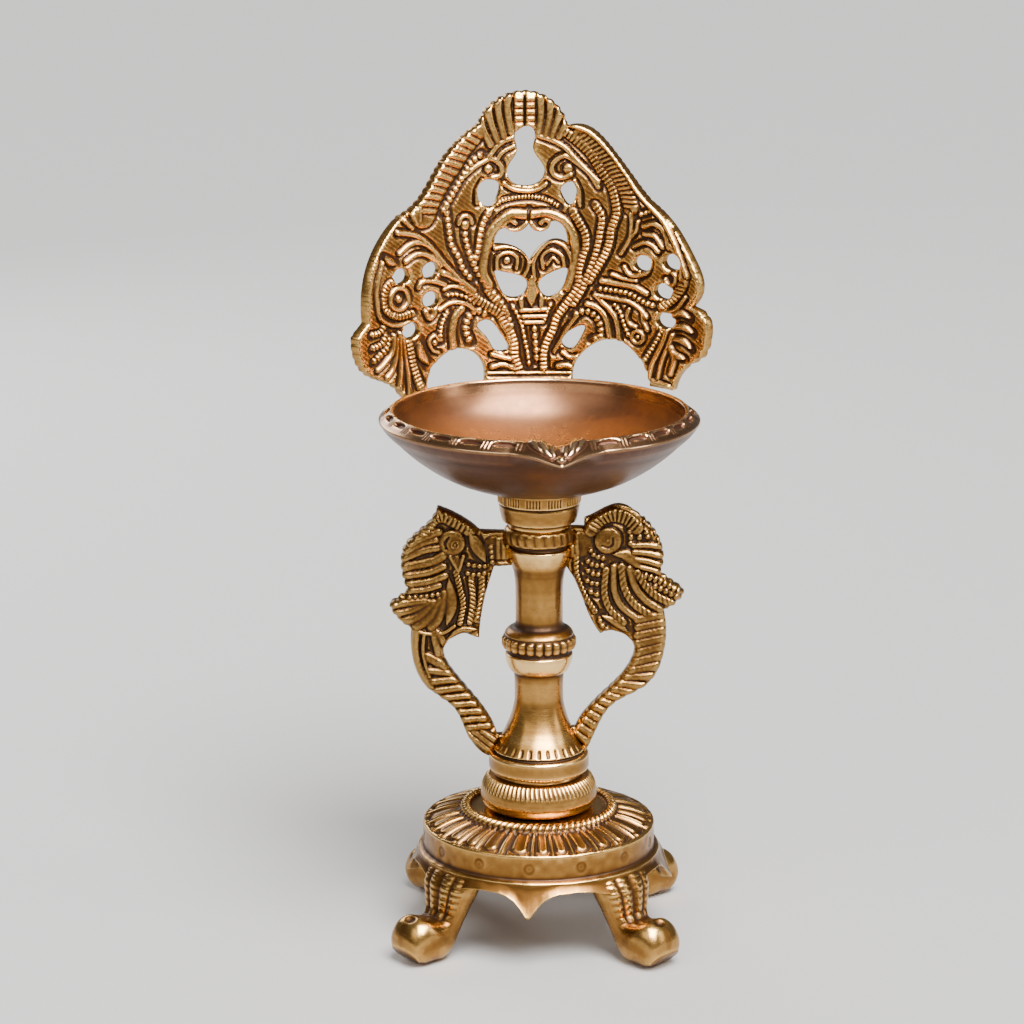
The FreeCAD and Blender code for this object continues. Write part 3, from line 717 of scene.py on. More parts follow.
def filled(loops, spacing):
    """Triangles over the area between loops; the loops' own points come first."""
    border = np.vstack(loops)
    low = border.min(axis=0)
    high = border.max(axis=0)
    levels = np.arange(low[1], high[1], spacing * math.sqrt(0.75))
    x, y = np.meshgrid(np.arange(low[0], high[0], spacing), levels)
    x = x + 0.5 * spacing * (np.arange(len(levels)) % 2)[:, None]
    middle = np.stack([x.ravel(), y.ravel()], axis=1)
    middle = middle[inside_loops(middle, loops)]
    middle = middle[distance_to_loops(middle, loops) > 0.55 * spacing]
    points = np.vstack([border, middle])
    edges = []
    start = 0
    for loop in loops:
        count = len(loop)
        edges += [(start + k, start + (k + 1) % count) for k in range(count)]
        start += count
    _, _, faces, origin, _, _ = delaunay_2d_cdt(
        [Vector(p) for p in points], edges, [], 1, MERGE_DISTANCE, True)
    back = [o[0] if o else -1 for o in origin]
    triangles = np.array([[back[k] for k in face] for face in faces if len(face) == 3])
    triangles = triangles[(triangles >= 0).all(axis=1)]
    centres = points[triangles].mean(axis=1)
    triangles = triangles[inside_loops(centres, loops)]
    return points, triangles


class Relief:
    """Heights over flat points, raised and cut by strokes."""

    def __init__(self, points, ground):
        self.points = points
        self.height = np.full(len(points), float(ground))
        self.gap = np.full(len(points), FAR_FROM_STROKES)
        self.ground = float(ground)

    def near(self, path, width):
        """Points near a path: their indices, way along it, signed distance, its length."""
        index, way, away, length = self.measured(path, width + ISLAND_TOP + 0.45)
        self.gap[index] = np.minimum(self.gap[index], np.abs(away) - width)
        return index, way, away, length

    def measured(self, path, reach):
        """The same for the points of the path's box; a lone point is a path as well."""
        line = curve_through(path, STROKE_STEP) if len(path) > 1 else np.array(path, float)
        low = line.min(axis=0) - reach
        high = line.max(axis=0) + reach
        box = ((self.points >= low) & (self.points <= high)).all(axis=1)
        index = np.nonzero(box)[0]
        p = self.points[index]
        if len(line) == 1:
            return index, np.zeros(len(index)), np.linalg.norm(p - line[0], axis=1), 1.0
        gap = ((p[:, None, 0] - line[None, :, 0]) ** 2
               + (p[:, None, 1] - line[None, :, 1]) ** 2)
        nearest = gap.argmin(axis=1)
        along = arc_length(line)
        tangent = np.gradient(line, axis=0)
        tangent /= np.maximum(np.linalg.norm(tangent, axis=1), 1e-9)[:, None]
        offset = p - line[nearest]
        t = tangent[nearest]
        forward = (offset * t).sum(axis=1)
        inner = (nearest > 0) & (nearest < len(line) - 1)
        side = t[:, 0] * offset[:, 1] - t[:, 1] * offset[:, 0]
        beyond = np.where(inner, 0.0, np.abs(forward))
        away = np.where(inner, side, np.sign(side + 1e-12) * np.hypot(side, beyond))
        way = along[nearest] + np.where(inner, forward, 0.0)
        return index, way, away, along[-1]

    def lift(self, index, height):
        """Raise the points to a height above the ground, where it is above it."""
        high = height > 0
        self.height[index[high]] = np.maximum(self.height[index[high]],
                                              self.ground + height[high])

    def ridge(self, path, width, rise=1.0, taper=False):
        """A smooth rounded strand; a tapered one is a leaf with pointed ends."""
        index, way, away, length = self.near(path, width)
        reach = width
        if taper:
            reach = width * np.sin(np.pi * np.clip(way / length, 0.02, 0.98)) ** 0.7
        self.lift(index, rise * dome((away / reach) ** 2))

    def beads(self, path, width, pitch, rise=0.95):
        """A row of round beads."""
        index, way, away, length = self.near(path, width)
        pitch = length / max(1, round(length / pitch))
        local = (way / pitch) % 1.0 * pitch - 0.5 * pitch
        self.lift(index, rise * dome((away / width) ** 2 + (local / (0.56 * pitch)) ** 2))

    def ladder(self, path, width, pitch, slant=0.0, rise=1.0, notch=0.6):
        """A strand cut by notches across it, straight or slanting like a rope's."""
        index, way, away, _ = self.near(path, width)
        rib = np.abs(np.sin(np.pi * (way / pitch + slant * away / width))) ** 0.6
        self.lift(index, rise * dome((away / width) ** 4) * (1.0 - notch * (1.0 - rib)))

    def groove(self, path, width, depth=0.6):
        index, _, away, _ = self.near(path, width)
        self.height[index] -= depth * dome((away / width) ** 2)

    def bump(self, place, width, rise=1.0, power=2):
        """A round boss; a higher power makes its top flatter."""
        index, _, away, _ = self.near([place], width)
        self.lift(index, rise * dome((away / width) ** power))

    def ring(self, place, radius, width, rise=0.9):
        index, _, away, _ = self.near([place], radius + width)
        self.lift(index, rise * dome(((away - radius) / width) ** 2))

    def carve(self, groups):
        """Work through groups of strokes of one kind: (kind, sizes..., paths)."""
        for kind, *sizes, paths in groups:
            for path in paths:
                getattr(self, kind)(path, *sizes)

    def fill_islands(self):
        """Raise the ground that is clear of the strokes, with fine hatching on it."""
        slanted = self.points[:, 0] + 1.4 * self.points[:, 1]
        hatch = 0.5 + 0.5 * np.sin(slanted * TURN / HATCH_PITCH)
        clear = smoothstep(ISLAND_START, ISLAND_TOP, self.gap)
        island = clear * (ISLAND_RISE - HATCH_DEPTH * hatch)
        self.height = np.maximum(self.height, self.ground + island)


def casting(name, loops, spacing, strokes, ground, place, depth=None, round_width=0.7,
            round_depth=0.45):
    """A closed sheet between loops, with strokes on its front and rounded edges.

    place(points, height) gives the front and place(points, -depth) a plain back; with no
    depth, place(points, height, True) gives a back with the same relief."""
    loops = [respaced(loop, OUTLINE_STEP, closed=True) for loop in loops]
    points, triangles = filled(loops, spacing)
    count = len(points)
    edge = distance_to_loops(points, loops)
    edge[:sum(len(loop) for loop in loops)] = 0.0
    relief = Relief(points, ground)
    relief.carve(strokes)
    relief.fill_islands()
    height = relief.height
    for grain, amount, seed in ((1.3, 0.10, 11), (3.1, 0.07, 12)):
        height += amount * (value_noise(points[:, 0] * grain, points[:, 1] * grain, seed) - 0.5)
    height -= round_depth * np.clip(1.0 - edge / round_width, 0.0, 1.0) ** 2
    if depth is None:
        back, back_faces = place(points, height, True), triangles
    else:
        back_points, back_faces = filled(loops, PLAIN_BACK_SPACING)
        back = place(back_points, np.full(len(back_points), -depth))
    faces = [tuple(f) for f in triangles[:, ::-1]] + [tuple(f) for f in back_faces + count]
    start = 0
    for loop in loops:
        ring = [start + k for k in range(len(loop))]
        faces += [(a, b, count + b, count + a) for a, b in zip(ring, ring[1:] + ring[:1])]
        start += len(loop)
    thing = new_object(name, np.vstack([place(points, height), back]), faces)
    face_outward(thing)
    thing.data.set_sharp_from_angle(angle=math.radians(55))
    return thing


# ---------------------------------------------------------------- back plate

# Strokes on the plate's front, as (kind, half width and further sizes, paths), in millimetres
# across from the plate's middle and up from the bowl's lip.
PLATE_OUTER_BANDS = [
    ("ladder", 4.1, 2.2, 0.5, 1, 0.75, [[(-30.2, 47.3), (-28.6, 51.3), (-25.4, 56.9),
         (-21.8, 61.7), (-18.4, 66.7), (-14.8, 70.5)]]),
    ("ridge", 0.9, [[(-31.3, 49.4), (-31.4, 45.7)], [(-33.6, 47.6), (-32.3, 44.9)],
        [(-36.2, 46.2), (-33.8, 43.8)]]),
    ("beads", 1.1, 1.6, [[(-24.2, 47.5), (-21, 52.5), (-18.2, 57), (-15.5, 61), (-12.5, 63.5)]]),
    ("ridge", 0.9, 1.25, [[(12.6, 71.4), (17.8, 69.4), (23, 64.8), (28, 58.8), (32, 53),
         (37.2, 48), (40.4, 44.6), (44.6, 37.2), (47.6, 30.4)]]),
    ("ladder", 2.4, 1.35, -0.6, 0.95, 0.7, [[(15, 68.4), (20, 64.4), (24.6, 59.4), (28.3, 53.4),
         (29.9, 48.6)]]),
    ("ladder", 1.4, 1.2, [[(9.8, 70.2), (13.6, 67.4), (17.8, 63.7), (21.8, 57.7), (24.2, 54.1),
         (25.2, 50.6), (25.7, 47), (25, 44.5), (24.1, 41.9), (23.6, 38.3), (22.4, 35.1),
         (20.5, 31.5), (17.8, 27.2)]]),
]
PLATE_CROWN = [
    ("ladder", 1.5, 1.9, [[(-2, 79.7), (-2, 70.6)], [(1.3, 79.7), (1.3, 71)]]),
    ("ridge", 1.2, [[(-4.8, 79.4), (-5.2, 76.2), (-4.2, 69.4)],
        [(-7.8, 78.3), (-7.6, 74.4), (-6.2, 68.2)], [(-10.6, 76), (-9.9, 72.4), (-8, 67)],
        [(-12.9, 73.3), (-12, 70.2), (-9.9, 66)], [(3.9, 79.5), (4.2, 74.8), (3.6, 69.2)],
        [(6.8, 78.5), (6.6, 73.8), (5.4, 68.6)], [(9.5, 76.9), (9, 73.6), (7.2, 68.2)],
        [(12, 74.6), (11.2, 71.8), (9.2, 68)]]),
    ("ridge", 0.9, [[(-3.3, 68.1), (-7.5, 66.1), (-10.4, 62.6)],
        [(2.9, 68.6), (9.9, 65.7), (15.1, 60.6), (20.4, 55.5)],
        [(20.4, 54), (17.6, 58), (13.5, 61.3), (10.7, 62.6), (7.6, 60.5), (7.6, 57.6), (10, 56.4),
         (12.6, 57.4)],
        [(-17.5, 57.5), (-14.9, 59.6), (-12.3, 61.1), (-9.6, 62), (-7, 59.9), (-7.2, 57.4),
         (-9.6, 56.6)]]),
    ("ridge", 0.8, [[(-3.3, 65.5), (-6.5, 63.9), (-8.4, 61.4)],
        [(-6.2, 55), (-4.4, 53.6), (-2.3, 52.9), (0.9, 52.6), (3.5, 53.2), (5.6, 54.6)]]),
    ("bump", 1.6, [(11.8, 59)]),
    ("bump", 1.4, [(-10.6, 59.2)]),
    ("beads", 0.8, 0.95, [[(-8.6, 48.8), (-6.2, 50.1), (-1.7, 50.9), (2.4, 50.9), (6.1, 50),
         (9.2, 48.2)]]),
    ("ridge", 0.7, [[(-14, 49.6), (-13.8, 53.2), (-12.2, 55.9)],
        [(15.2, 48.6), (15, 52.6), (13.6, 55.6)]]),
]
PLATE_LYRE = [
    ("beads", 1.1, 1.8, [[(-23.2, 49.9), (-22.4, 44.2), (-21.5, 38.3), (-19.5, 34.7), (-18, 31),
         (-15.6, 27.8)],
        [(-17.5, 41.8), (-17, 38.5), (-15.5, 33.5), (-13.6, 29.6), (-11, 25.6), (-8, 22),
         (-5.6, 18.2), (-3.9, 13.2)]]),
    ("ridge", 0.8, [[(-19.3, 44), (-18.6, 45.6), (-17.4, 46.2), (-16, 45.6), (-15.4, 44)]]),
    ("bump", 1.5, [(-17.4, 43.4)]),
    ("ladder", 1, 1.6, [[(-10.3, 46.9), (-11.9, 44.4), (-12.9, 41.1), (-13.7, 35.9),
         (-14.8, 32.5)]]),
    ("ridge", 1.6, 1.15, [[(0.5, 45.8), (-4.2, 46), (-7.8, 43.6), (-10.3, 40.2), (-11.4, 36.2),
         (-12.1, 32.5), (-12.1, 29.3), (-10.6, 26)]]),
    ("ridge", 1.4, 1.15, [[(1.4, 45.9), (6, 46.2), (10.2, 44.6), (12.9, 41.5), (14, 37.5),
         (13.9, 33.5), (13.2, 29.5), (11.6, 25)]]),
    ("groove", 0.5, 0.7, [[(0.9, 47.8), (0.7, 43.6)]]),
    ("ridge", 0.9, [[(0.2, 43.4), (-2, 41.7), (-4.6, 41.3), (-6.2, 43), (-4.6, 44.5), (-3, 43.6)],
        [(1.4, 43.4), (3.2, 41.6), (5.4, 41.6), (6.9, 43.2), (5.6, 44.5), (4.2, 43.6)]]),
    ("ridge", 0.7, [[(-8.8, 36.4), (-5.3, 37), (-1.7, 36), (0.6, 33.6), (0.6, 30.7), (-0.6, 28.1)],
        [(-8.2, 30.6), (-8, 33.9), (-5.1, 35.2), (-2.5, 33.7), (-2.6, 30.6)],
        [(2.5, 27.6), (2.3, 32.6), (5.3, 37.2), (7.9, 38.3), (11.1, 36.7), (12.8, 33.2),
         (12.8, 31.3)], [(4.9, 30.6), (4.6, 33.9), (7.2, 35.8), (10.2, 34.2), (10.9, 31.2)]]),
    ("bump", 1.2, [(-5.3, 32.9)]),
    ("ridge", 0.6, [[(6, 31.6), (7.6, 33.6), (9.3, 32.2)]]),
    ("ridge", 1.9, 1.2, True, [[(1.6, 28.4), (1.6, 19.6)]]),
    ("ridge", 0.9, 0.9, True, [[(-1.5, 23.6), (-1, 18.2)], [(4.5, 24), (4.3, 18.2)]]),
    ("ridge", 0.8, [[(-1.4, 18.4), (5.4, 18.6)], [(-0.8, 16.6), (5.3, 16.7)],
        [(-0.2, 14.9), (5, 15)]]),
    ("beads", 1, 2.1, [[(2.4, 14), (2.6, 11.3), (2.8, 9), (3, 6.9), (3.1, 3.6)]]),
]
PLATE_STEM_BANDS = [
    ("ladder", 1.5, 1.2, [[(-17.6, 26.2), (-14.1, 22.2), (-11, 20), (-7.4, 17.5), (-5.9, 14.6),
         (-4.4, 12.2), (-3.3, 8.6), (-3.1, 4.9), (-1.8, 1)]]),
    ("ladder", 1, 1.2, [[(-11.5, 25), (-9, 21.7), (-6.4, 19.3), (-4.9, 16.6)]]),
    ("beads", 0.8, 1.5, [[(-3.9, 19.9), (-2.3, 17.1), (-1, 13.7), (-0.3, 10.1), (0.5, 6.4),
         (1, 2.4)]]),
    ("ladder", 1.3, 1.2, [[(13.2, 46.7), (15, 43.7), (16.7, 40.4), (16.9, 36.6), (15.8, 33.2),
         (14.9, 29.4), (14.7, 25.8), (12.8, 22.2), (10.1, 18.3), (8.6, 16), (7.6, 12.6),
         (6.1, 9.5), (5.1, 6.1), (5.1, 1.6)]]),
    ("ladder", 1.2, 1.3, [[(19.4, 48.9), (21.4, 45.6), (20.9, 40.9), (20.3, 37.4), (19.2, 33.4),
         (17.4, 28.6), (15.6, 24), (13.4, 20.4)]]),
    ("beads", 0.7, 1.2, [[(7.1, 20.4), (6.1, 17.8), (5.3, 15.2)]]),
    ("ridge", 0.7, [[(14.4, 16.9), (11.4, 12.7), (9.4, 9), (8.1, 6.4)],
        [(32, 44.7), (31.5, 42.1), (29.6, 39.9)]]),
    ("ridge", 0.8, [[(29.8, 46.8), (30.1, 44.5), (29.6, 39.9), (27, 35.4)],
        [(-9.6, 5.9), (-6.7, 5), (-4.4, 4.4)], [(10.4, 6.2), (12.2, 4.9), (14.6, 5)]]),
    ("ridge", 0.9, [[(-9.6, 2.3), (-6.4, 2.9), (-3.1, 1.4)],
        [(9.1, 2.2), (11.4, 2.5), (13.6, 1.7)]]),
    ("ridge", 0.6, [[(-11, 0.6), (0, 0.3), (13, 0.4)]]),
]
PLATE_RIGHT_WING = [
    ("ridge", 0.9, [[(33.7, 43.5), (37.2, 44.4), (40.2, 42.2), (41.6, 38)],
        [(20, 22.8), (21.8, 21), (24, 19), (25.9, 15.8), (26.7, 10.6)],
        [(41.9, 38.6), (44.4, 36.3), (45.9, 33), (45.6, 29.5)]]),
    ("ridge", 0.8, [[(33.9, 41.3), (37.2, 40.9), (39.6, 38)],
        [(30.9, 37.6), (33.8, 38.9), (36.4, 38.3), (38.2, 36.6)],
        [(28, 31.6), (29.6, 29.6), (32.1, 29.2), (34.9, 30.6), (35.8, 33.2)],
        [(19.5, 23.1), (25.9, 22.2), (29.8, 21.6), (33.1, 19.6), (34.8, 17.6)]]),
    ("beads", 0.9, 1.7, [[(32.2, 46.7), (34.3, 47.4), (36.2, 48.3)]]),
    ("ridge", 0.7, [[(24.4, 29.3), (28, 28.2), (31.6, 27.8)],
        [(29.6, 19.6), (29, 17.6), (29.8, 15.4), (31.6, 14.6)],
        [(33.6, 19.1), (33.8, 16.8), (35.2, 13.9)], [(47.2, 24.6), (44.2, 20.8), (40.6, 19.6)],
        [(42.6, 31.2), (43.9, 30.2), (43.6, 28), (41.8, 27.4), (40.6, 29)]]),
    ("ridge", 1, [[(21.4, 27.2), (26.3, 26.6), (31, 26), (34.6, 24.4)],
        [(17.3, 20.4), (20.6, 19.2), (22.9, 16.2), (24, 10.6)]]),
    ("beads", 0.9, 1.5, [[(20.4, 24.9), (25.9, 24.5), (29.8, 23.8), (34, 21.8), (37.2, 20.9)]]),
    ("beads", 0.8, 1.4, [[(24.9, 21.1), (26.9, 18.4), (28.2, 14.8), (29.6, 11.6)]]),
    ("beads", 1.2, 1.7, [[(13.6, 16.9), (16.8, 18.3), (19.7, 16.9), (21.2, 14.1), (21, 10.9),
         (19, 10.3)]]),
    ("ring", 1.7, 0.7, [(32.2, 11.7)]),
    ("bump", 0.8, 0.8, [(32.2, 11.7)]),
    ("ladder", 1.6, 1.2, 0.4, [[(46.4, 28.4), (44.4, 25), (42, 22.9), (39.6, 21)]]),
    ("groove", 0.9, 0.5, [[(41.9, 28.9), (42.3, 29.1)]]),
    ("beads", 1, 1.2, [[(39.9, 14.4), (38, 11.2), (36.2, 8.2), (34.2, 5)]]),
    ("ridge", 0.9, [[(41.6, 16.8), (40.5, 12.3), (38.6, 7.9), (36.8, 4.4), (35.9, 0.2)]]),
    ("ridge", 0.8, [[(43, 13.2), (41.4, 9.3), (39.8, 5.5), (38.6, 0.5)],
        [(37, -0.8), (39.7, -1.2), (42, -1.6)]]),
    ("ridge", 1, [[(42.6, 9.5), (43.7, 6.1), (42.5, 2.1)]]),
    ("ridge", 1.1, 1, True, [[(42, 17.6), (45.2, 19.8), (48.9, 18.8)],
        [(43, 15.3), (46.4, 16), (50, 14.6)], [(43.2, 12), (46.4, 12), (49.4, 10.2)]]),
    ("ridge", 1, 1, True, [[(43, 8.7), (44.8, 7.5), (47.2, 6.9)]]),
]
PLATE_LEFT_WING = [
    ("ridge", 1, [[(-38.6, 43), (-35, 42.4), (-32.1, 41.4), (-27.7, 37.8), (-24.7, 32.7)],
        [(-23.8, 30.2), (-21.6, 29.2), (-18.5, 27.5), (-14.8, 24.6)]]),
    ("ridge", 0.9, [[(-38.1, 37.1), (-34.6, 39.3), (-30.7, 39.4), (-27, 37), (-23.8, 33.1),
         (-19.8, 28.8)], [(-35.9, 34.6), (-32.6, 36.2), (-29.4, 36), (-25.6, 34)],
        [(-31.8, 26.8), (-30.8, 28.2), (-27.6, 28.4), (-23.6, 27)],
        [(-29.6, 19.6), (-28.4, 17.6), (-27, 18.6), (-26.6, 20.8)],
        [(-40.2, 14), (-40.8, 9.6), (-43.4, 6.6), (-46.2, 4.9)],
        [(-39.2, 12.8), (-39.6, 8), (-40.8, 4.3), (-42.6, 2.3)],
        [(-38.2, 14.4), (-38, 8.2), (-37.9, 3.6), (-38.4, -1.8)],
        [(-37.1, 12.9), (-36.4, 7.3), (-35.4, 2.3), (-34.8, -3.6)]]),
    ("ridge", 1.3, 1.1, True, [[(-43.6, 36.4), (-39.6, 34.2)]]),
    ("beads", 1.1, 1.5, [[(-21.2, 30), (-18.4, 26.8), (-16.2, 24.4)]]),
    ("bump", 1.2, [(-38.4, 24.2)]),
    ("ring", 3.1, 0.9, 1, [(-38.4, 24.2)]),
    ("ladder", 1.1, 1.1, [[(-38.2, 29.4), (-41.8, 28.8), (-43.6, 25.8), (-43, 21.6), (-38.8, 19.2),
         (-34, 19.6)]]),
    ("ridge", 0.8, [[(-44.1, 35.1), (-46.1, 29.6), (-46.4, 25.6), (-45.3, 20), (-41.7, 17.4),
         (-38.3, 16.8), (-35, 17.3)], [(-25.3, 19.8), (-21.6, 21.6), (-17.3, 21), (-14.4, 18.8)]]),
    ("ridge", 0.7, [[(-23.9, 25.6), (-21.5, 26.3), (-18.5, 25.6), (-14.3, 23.1)],
        [(-25.6, 11.2), (-26.9, 12.6), (-28.6, 11), (-27.4, 8.4), (-25.6, 7.6)]]),
    ("beads", 0.7, 1.5, [[(-23.4, 23.9), (-20.3, 23.9), (-17.3, 22.9), (-14.4, 20.6)]]),
    ("beads", 0.9, 1.2, [[(-22.6, 19.4), (-24.1, 16.7), (-24.9, 13.8), (-24.9, 10.6)]]),
    ("ridge", 1.3, [[(-18.5, 19.6), (-20.5, 17.2), (-21.4, 13.3), (-21, 8.7)]]),
    ("beads", 1.3, 1.7, [[(-11, 17.6), (-14.1, 18.8), (-16.4, 16.8), (-17.2, 13.4), (-16, 9.9)]]),
    ("bump", 1.1, [(-26.8, 10.4)]),
    ("ridge", 1.6, 1.05, True, [[(-31.9, 11.6), (-31.2, 8), (-28.8, 4.4)]]),
    ("beads", 1, 1.3, [[(-43.4, 17.2), (-45.2, 15.4), (-48.6, 15.2)],
        [(-42.9, 15), (-44.4, 12.2), (-48.4, 11.2)], [(-41.6, 13.8), (-43, 10.4), (-48, 7.4)]]),
    ("ladder", 1.4, 1.2, [[(-35.6, 12.4), (-34.6, 8.6), (-33.4, 3.4), (-31.4, -1.6)]]),
]
PLATE_STROKES = (PLATE_OUTER_BANDS + PLATE_CROWN + PLATE_LYRE + PLATE_STEM_BANDS
                 + PLATE_RIGHT_WING + PLATE_LEFT_WING)
PLATE_YAW = math.radians(4.5)
PLATE_RADIUS = 66.0
PLATE_THICKNESS = 3.4
PLATE_FRONT = 45.5
RIM_LEVEL = 149.6
PLATE_SPACING = 0.33
PLATE_GROUND = -0.80


def plate_local(points):
    """Row points as (across, up from the rim, depth from the front face)."""
    x, y = turned_by(points[:, 0], points[:, 1], -PLATE_YAW)
    depth = np.hypot(x, y - PLATE_FRONT + PLATE_RADIUS) - PLATE_RADIUS
    return np.stack([x, points[:, 2] - RIM_LEVEL, depth], axis=1)


def plate_place(points, height):
    """Bend flat points round the plate's curve; height stands towards the front."""
    angle = points[:, 0] / PLATE_RADIUS
    r = PLATE_RADIUS - height
    x, y = turned_by(r * np.sin(angle), r * np.cos(angle) + PLATE_FRONT - PLATE_RADIUS,
                     PLATE_YAW)
    return np.stack([x, y, points[:, 1] + RIM_LEVEL], axis=1)


# Where an edge is scalloped: lowest and highest across, lowest and highest up,
# the scallops' pitch and their depth.
PLATE_SCALLOPS = [
    (-40.0, -13.0, 46.0, 70.5, 2.2, 0.45),
    (13.0, 40.0, 47.0, 70.5, 1.9, 0.22),
    (-13.0, 12.0, 71.0, 82.0, 2.6, 0.45),
    (-54.0, -36.0, -6.0, 16.5, 2.6, 0.45),
    (44.0, 54.0, 4.0, 21.0, 3.6, 0.60),
]


def scalloped(loop, scallops):
    """An outline with small scallops pressed into parts of its edge."""
    loop = respaced(loop, OUTLINE_STEP, closed=True)
    tangent = np.roll(loop, -2, axis=0) - np.roll(loop, 2, axis=0)
    normal = np.stack([tangent[:, 1], -tangent[:, 0]], axis=1)
    normal /= np.maximum(np.linalg.norm(normal, axis=1), 1e-9)[:, None]
    normal[inside_loops(loop + 0.05 * normal, [loop])] *= -1.0
    way = arc_length(loop)
    shift = np.zeros(len(loop))
    for left, right, low, high, pitch, depth in scallops:
        inside = window(loop[:, 0], left, right, 2.0) * window(loop[:, 1], low, high, 2.0)
        shift += inside * depth * (np.abs(np.sin(np.pi * way / pitch)) - 0.7)
    return loop + shift[:, None] * normal


def make_back_plate():
    """The pierced plate, unrolled flat for its relief and bent back again."""
    loops = flat_loops("back_plate", plate_local, lambda p: np.abs(p[:, 2]) < 0.05)
    for index, loop in enumerate(loops):
        outer_radius = PLATE_RADIUS + (PLATE_THICKNESS if index == 0 else 0.0)
        loop[:, 0] = PLATE_RADIUS * np.arcsin(loop[:, 0] / outer_radius)
    outline = loops[0] = scalloped(loops[0], PLATE_SCALLOPS)
    # the foot reaches down behind the bowl's rim
    foot = (np.abs(outline[:, 0]) < 14.0) & (outline[:, 1] < 0.5) & (outline[:, 1] > -2.0)
    outline[foot, 1] -= 1.9
    return casting("pierced_back_plate", loops, PLATE_SPACING, PLATE_STROKES, PLATE_GROUND,
                   plate_place, PLATE_THICKNESS)


# ---------------------------------------------------------------- peacock brackets

# Strokes like the plate's, in millimetres across from the stem's axis and up from the floor.
LEFT_ARM = [
    ("ridge", 1.2, [[(-34, 87), (-34.3, 81.6), (-33.3, 76.4), (-30.2, 70.8)],
        [(-29.2, 86.2), (-28, 80.4)], [(-30.2, 75.4), (-24.6, 74.8)], [(-29.6, 72.2), (-22.6, 73)],
        [(-28.4, 69.6), (-20.8, 70.7)]]),
    ("ridge", 0.7, [[(-31.8, 86.4), (-32.2, 81.6), (-31.5, 77.3), (-30.4, 73.8)]]),
    ("ridge", 1.5, [[(-30.9, 79.4), (-26.2, 76.8)]]),
    ("ridge", 1.1, [[(-26.9, 67.4), (-19.2, 68.3)], [(-25.2, 65.4), (-17.6, 66)],
        [(-23.6, 63.3), (-16.2, 63.7)], [(-22.2, 61), (-15, 61.6)], [(-21, 58.7), (-13.8, 59.5)]]),
    ("ridge", 1, [[(-20.2, 57.2), (-15, 53), (-12, 50.6)],
        [(-18.2, 57.8), (-13.4, 53.8), (-11, 52)], [(-16, 57.8), (-12.6, 55.3)]]),
]
LEFT_BIRD = [
    ("bump", 3.8, 1, 6, [(-24, 112.2)]),
    ("ridge", 0.75, [[(-24.5, 108.3), (-22.3, 104.3)], [(-20.9, 108.4), (-22.1, 104.5)]]),
    ("ridge", 1.1, 0.8, [[(-22.8, 107.8), (-22.4, 105.4)]]),
    ("ridge", 2, 1, True, [[(-19.3, 115.4), (-17.4, 111.8), (-14.8, 106.8)]]),
    ("ladder", 2.3, 1.35, 0.2, 0.95, 0.5, [[(-32.2, 113.8), (-29.8, 118.6), (-26.6, 120),
         (-23, 118.4), (-19.4, 116.2)]]),
    ("ridge", 1.3, [[(-27.6, 115.3), (-30.6, 114), (-35.2, 111.6)]]),
    ("ridge", 1.1, [[(-28.4, 113), (-32, 112), (-36.6, 109.6)], [(-28.2, 86.6), (-25.8, 82.6)]]),
    ("ridge", 1.2, [[(-28, 110.7), (-31.7, 110), (-37.4, 107.6)],
        [(-26.4, 105.5), (-30.4, 103.8), (-37.4, 102.6)],
        [(-26, 102.8), (-30.2, 101.2), (-36.8, 100.2)],
        [(-39.8, 91.9), (-35.1, 93), (-30.6, 95.2)]]),
    ("ridge", 1.5, [[(-26.6, 108.4), (-29.8, 106.8), (-37.2, 105.2)],
        [(-33.8, 88.1), (-30.4, 90.8), (-27.4, 95.8)], [(-29.8, 88), (-27.6, 91.2), (-26, 97.6)]]),
    ("ridge", 1, [[(-27.6, 100), (-31.6, 98.8), (-36.2, 98.4)]]),
    ("beads", 0.9, 1.5, [[(-36.6, 96.5), (-32.4, 96.8), (-27.2, 97.6)]]),
    ("ridge", 1.3, 1.1, [[(-41, 94.3), (-36.2, 95), (-31.6, 95.6)]]),
    ("ridge", 1.4, [[(-37.4, 89.6), (-33.2, 91.2), (-29.2, 95)]]),
    ("ridge", 1.9, 1.1, True, [[(-25.6, 88.6), (-24.3, 94), (-24.9, 102)]]),
    ("ridge", 0.7, [[(-35.4, 87.4), (-31, 86.2), (-26.6, 86.4), (-23.4, 88.4)]]),
    ("beads", 0.9, 1.6, [[(-20.2, 106.2), (-17.1, 105.6), (-14.2, 105.6)],
        [(-20.4, 103.7), (-17.7, 103.1), (-14.4, 103.7)],
        [(-13.4, 111.8), (-13.1, 108.8), (-12.9, 106)]]),
    ("ladder", 1, 1.1, 0.4, [[(-22.9, 103.8), (-21.8, 98.8), (-21, 94.5), (-21.9, 89.2)]]),
    ("ladder", 1.1, 1.2, -0.4, [[(-18.8, 101.8), (-18.3, 96), (-19.1, 89.4)]]),
    ("ladder", 1.1, 1.3, 0.4, [[(-15.8, 101.8), (-16, 96), (-17.1, 90.2)]]),
    ("ladder", 0.9, 1.4, 0.3, [[(-13.4, 103), (-13.8, 98), (-14.8, 93)]]),
    ("ridge", 1.3, 1, True, [[(-25.6, 84.4), (-21.6, 87), (-16.8, 87.6)]]),
    ("ladder", 3.4, 1.5, 0, 0.8, 0.5, [[(-12, 110.6), (-5, 110.6)]]),
    ("groove", 0.35, 0.5, [[(-24.9, 113.8), (-25.9, 112.2), (-25.4, 110.5)]]),
    ("ring", 0.95, 0.3, 1.3, [(-23.2, 111.6)]),
    ("bump", 0.5, 1.3, [(-23.2, 111.6)]),
]
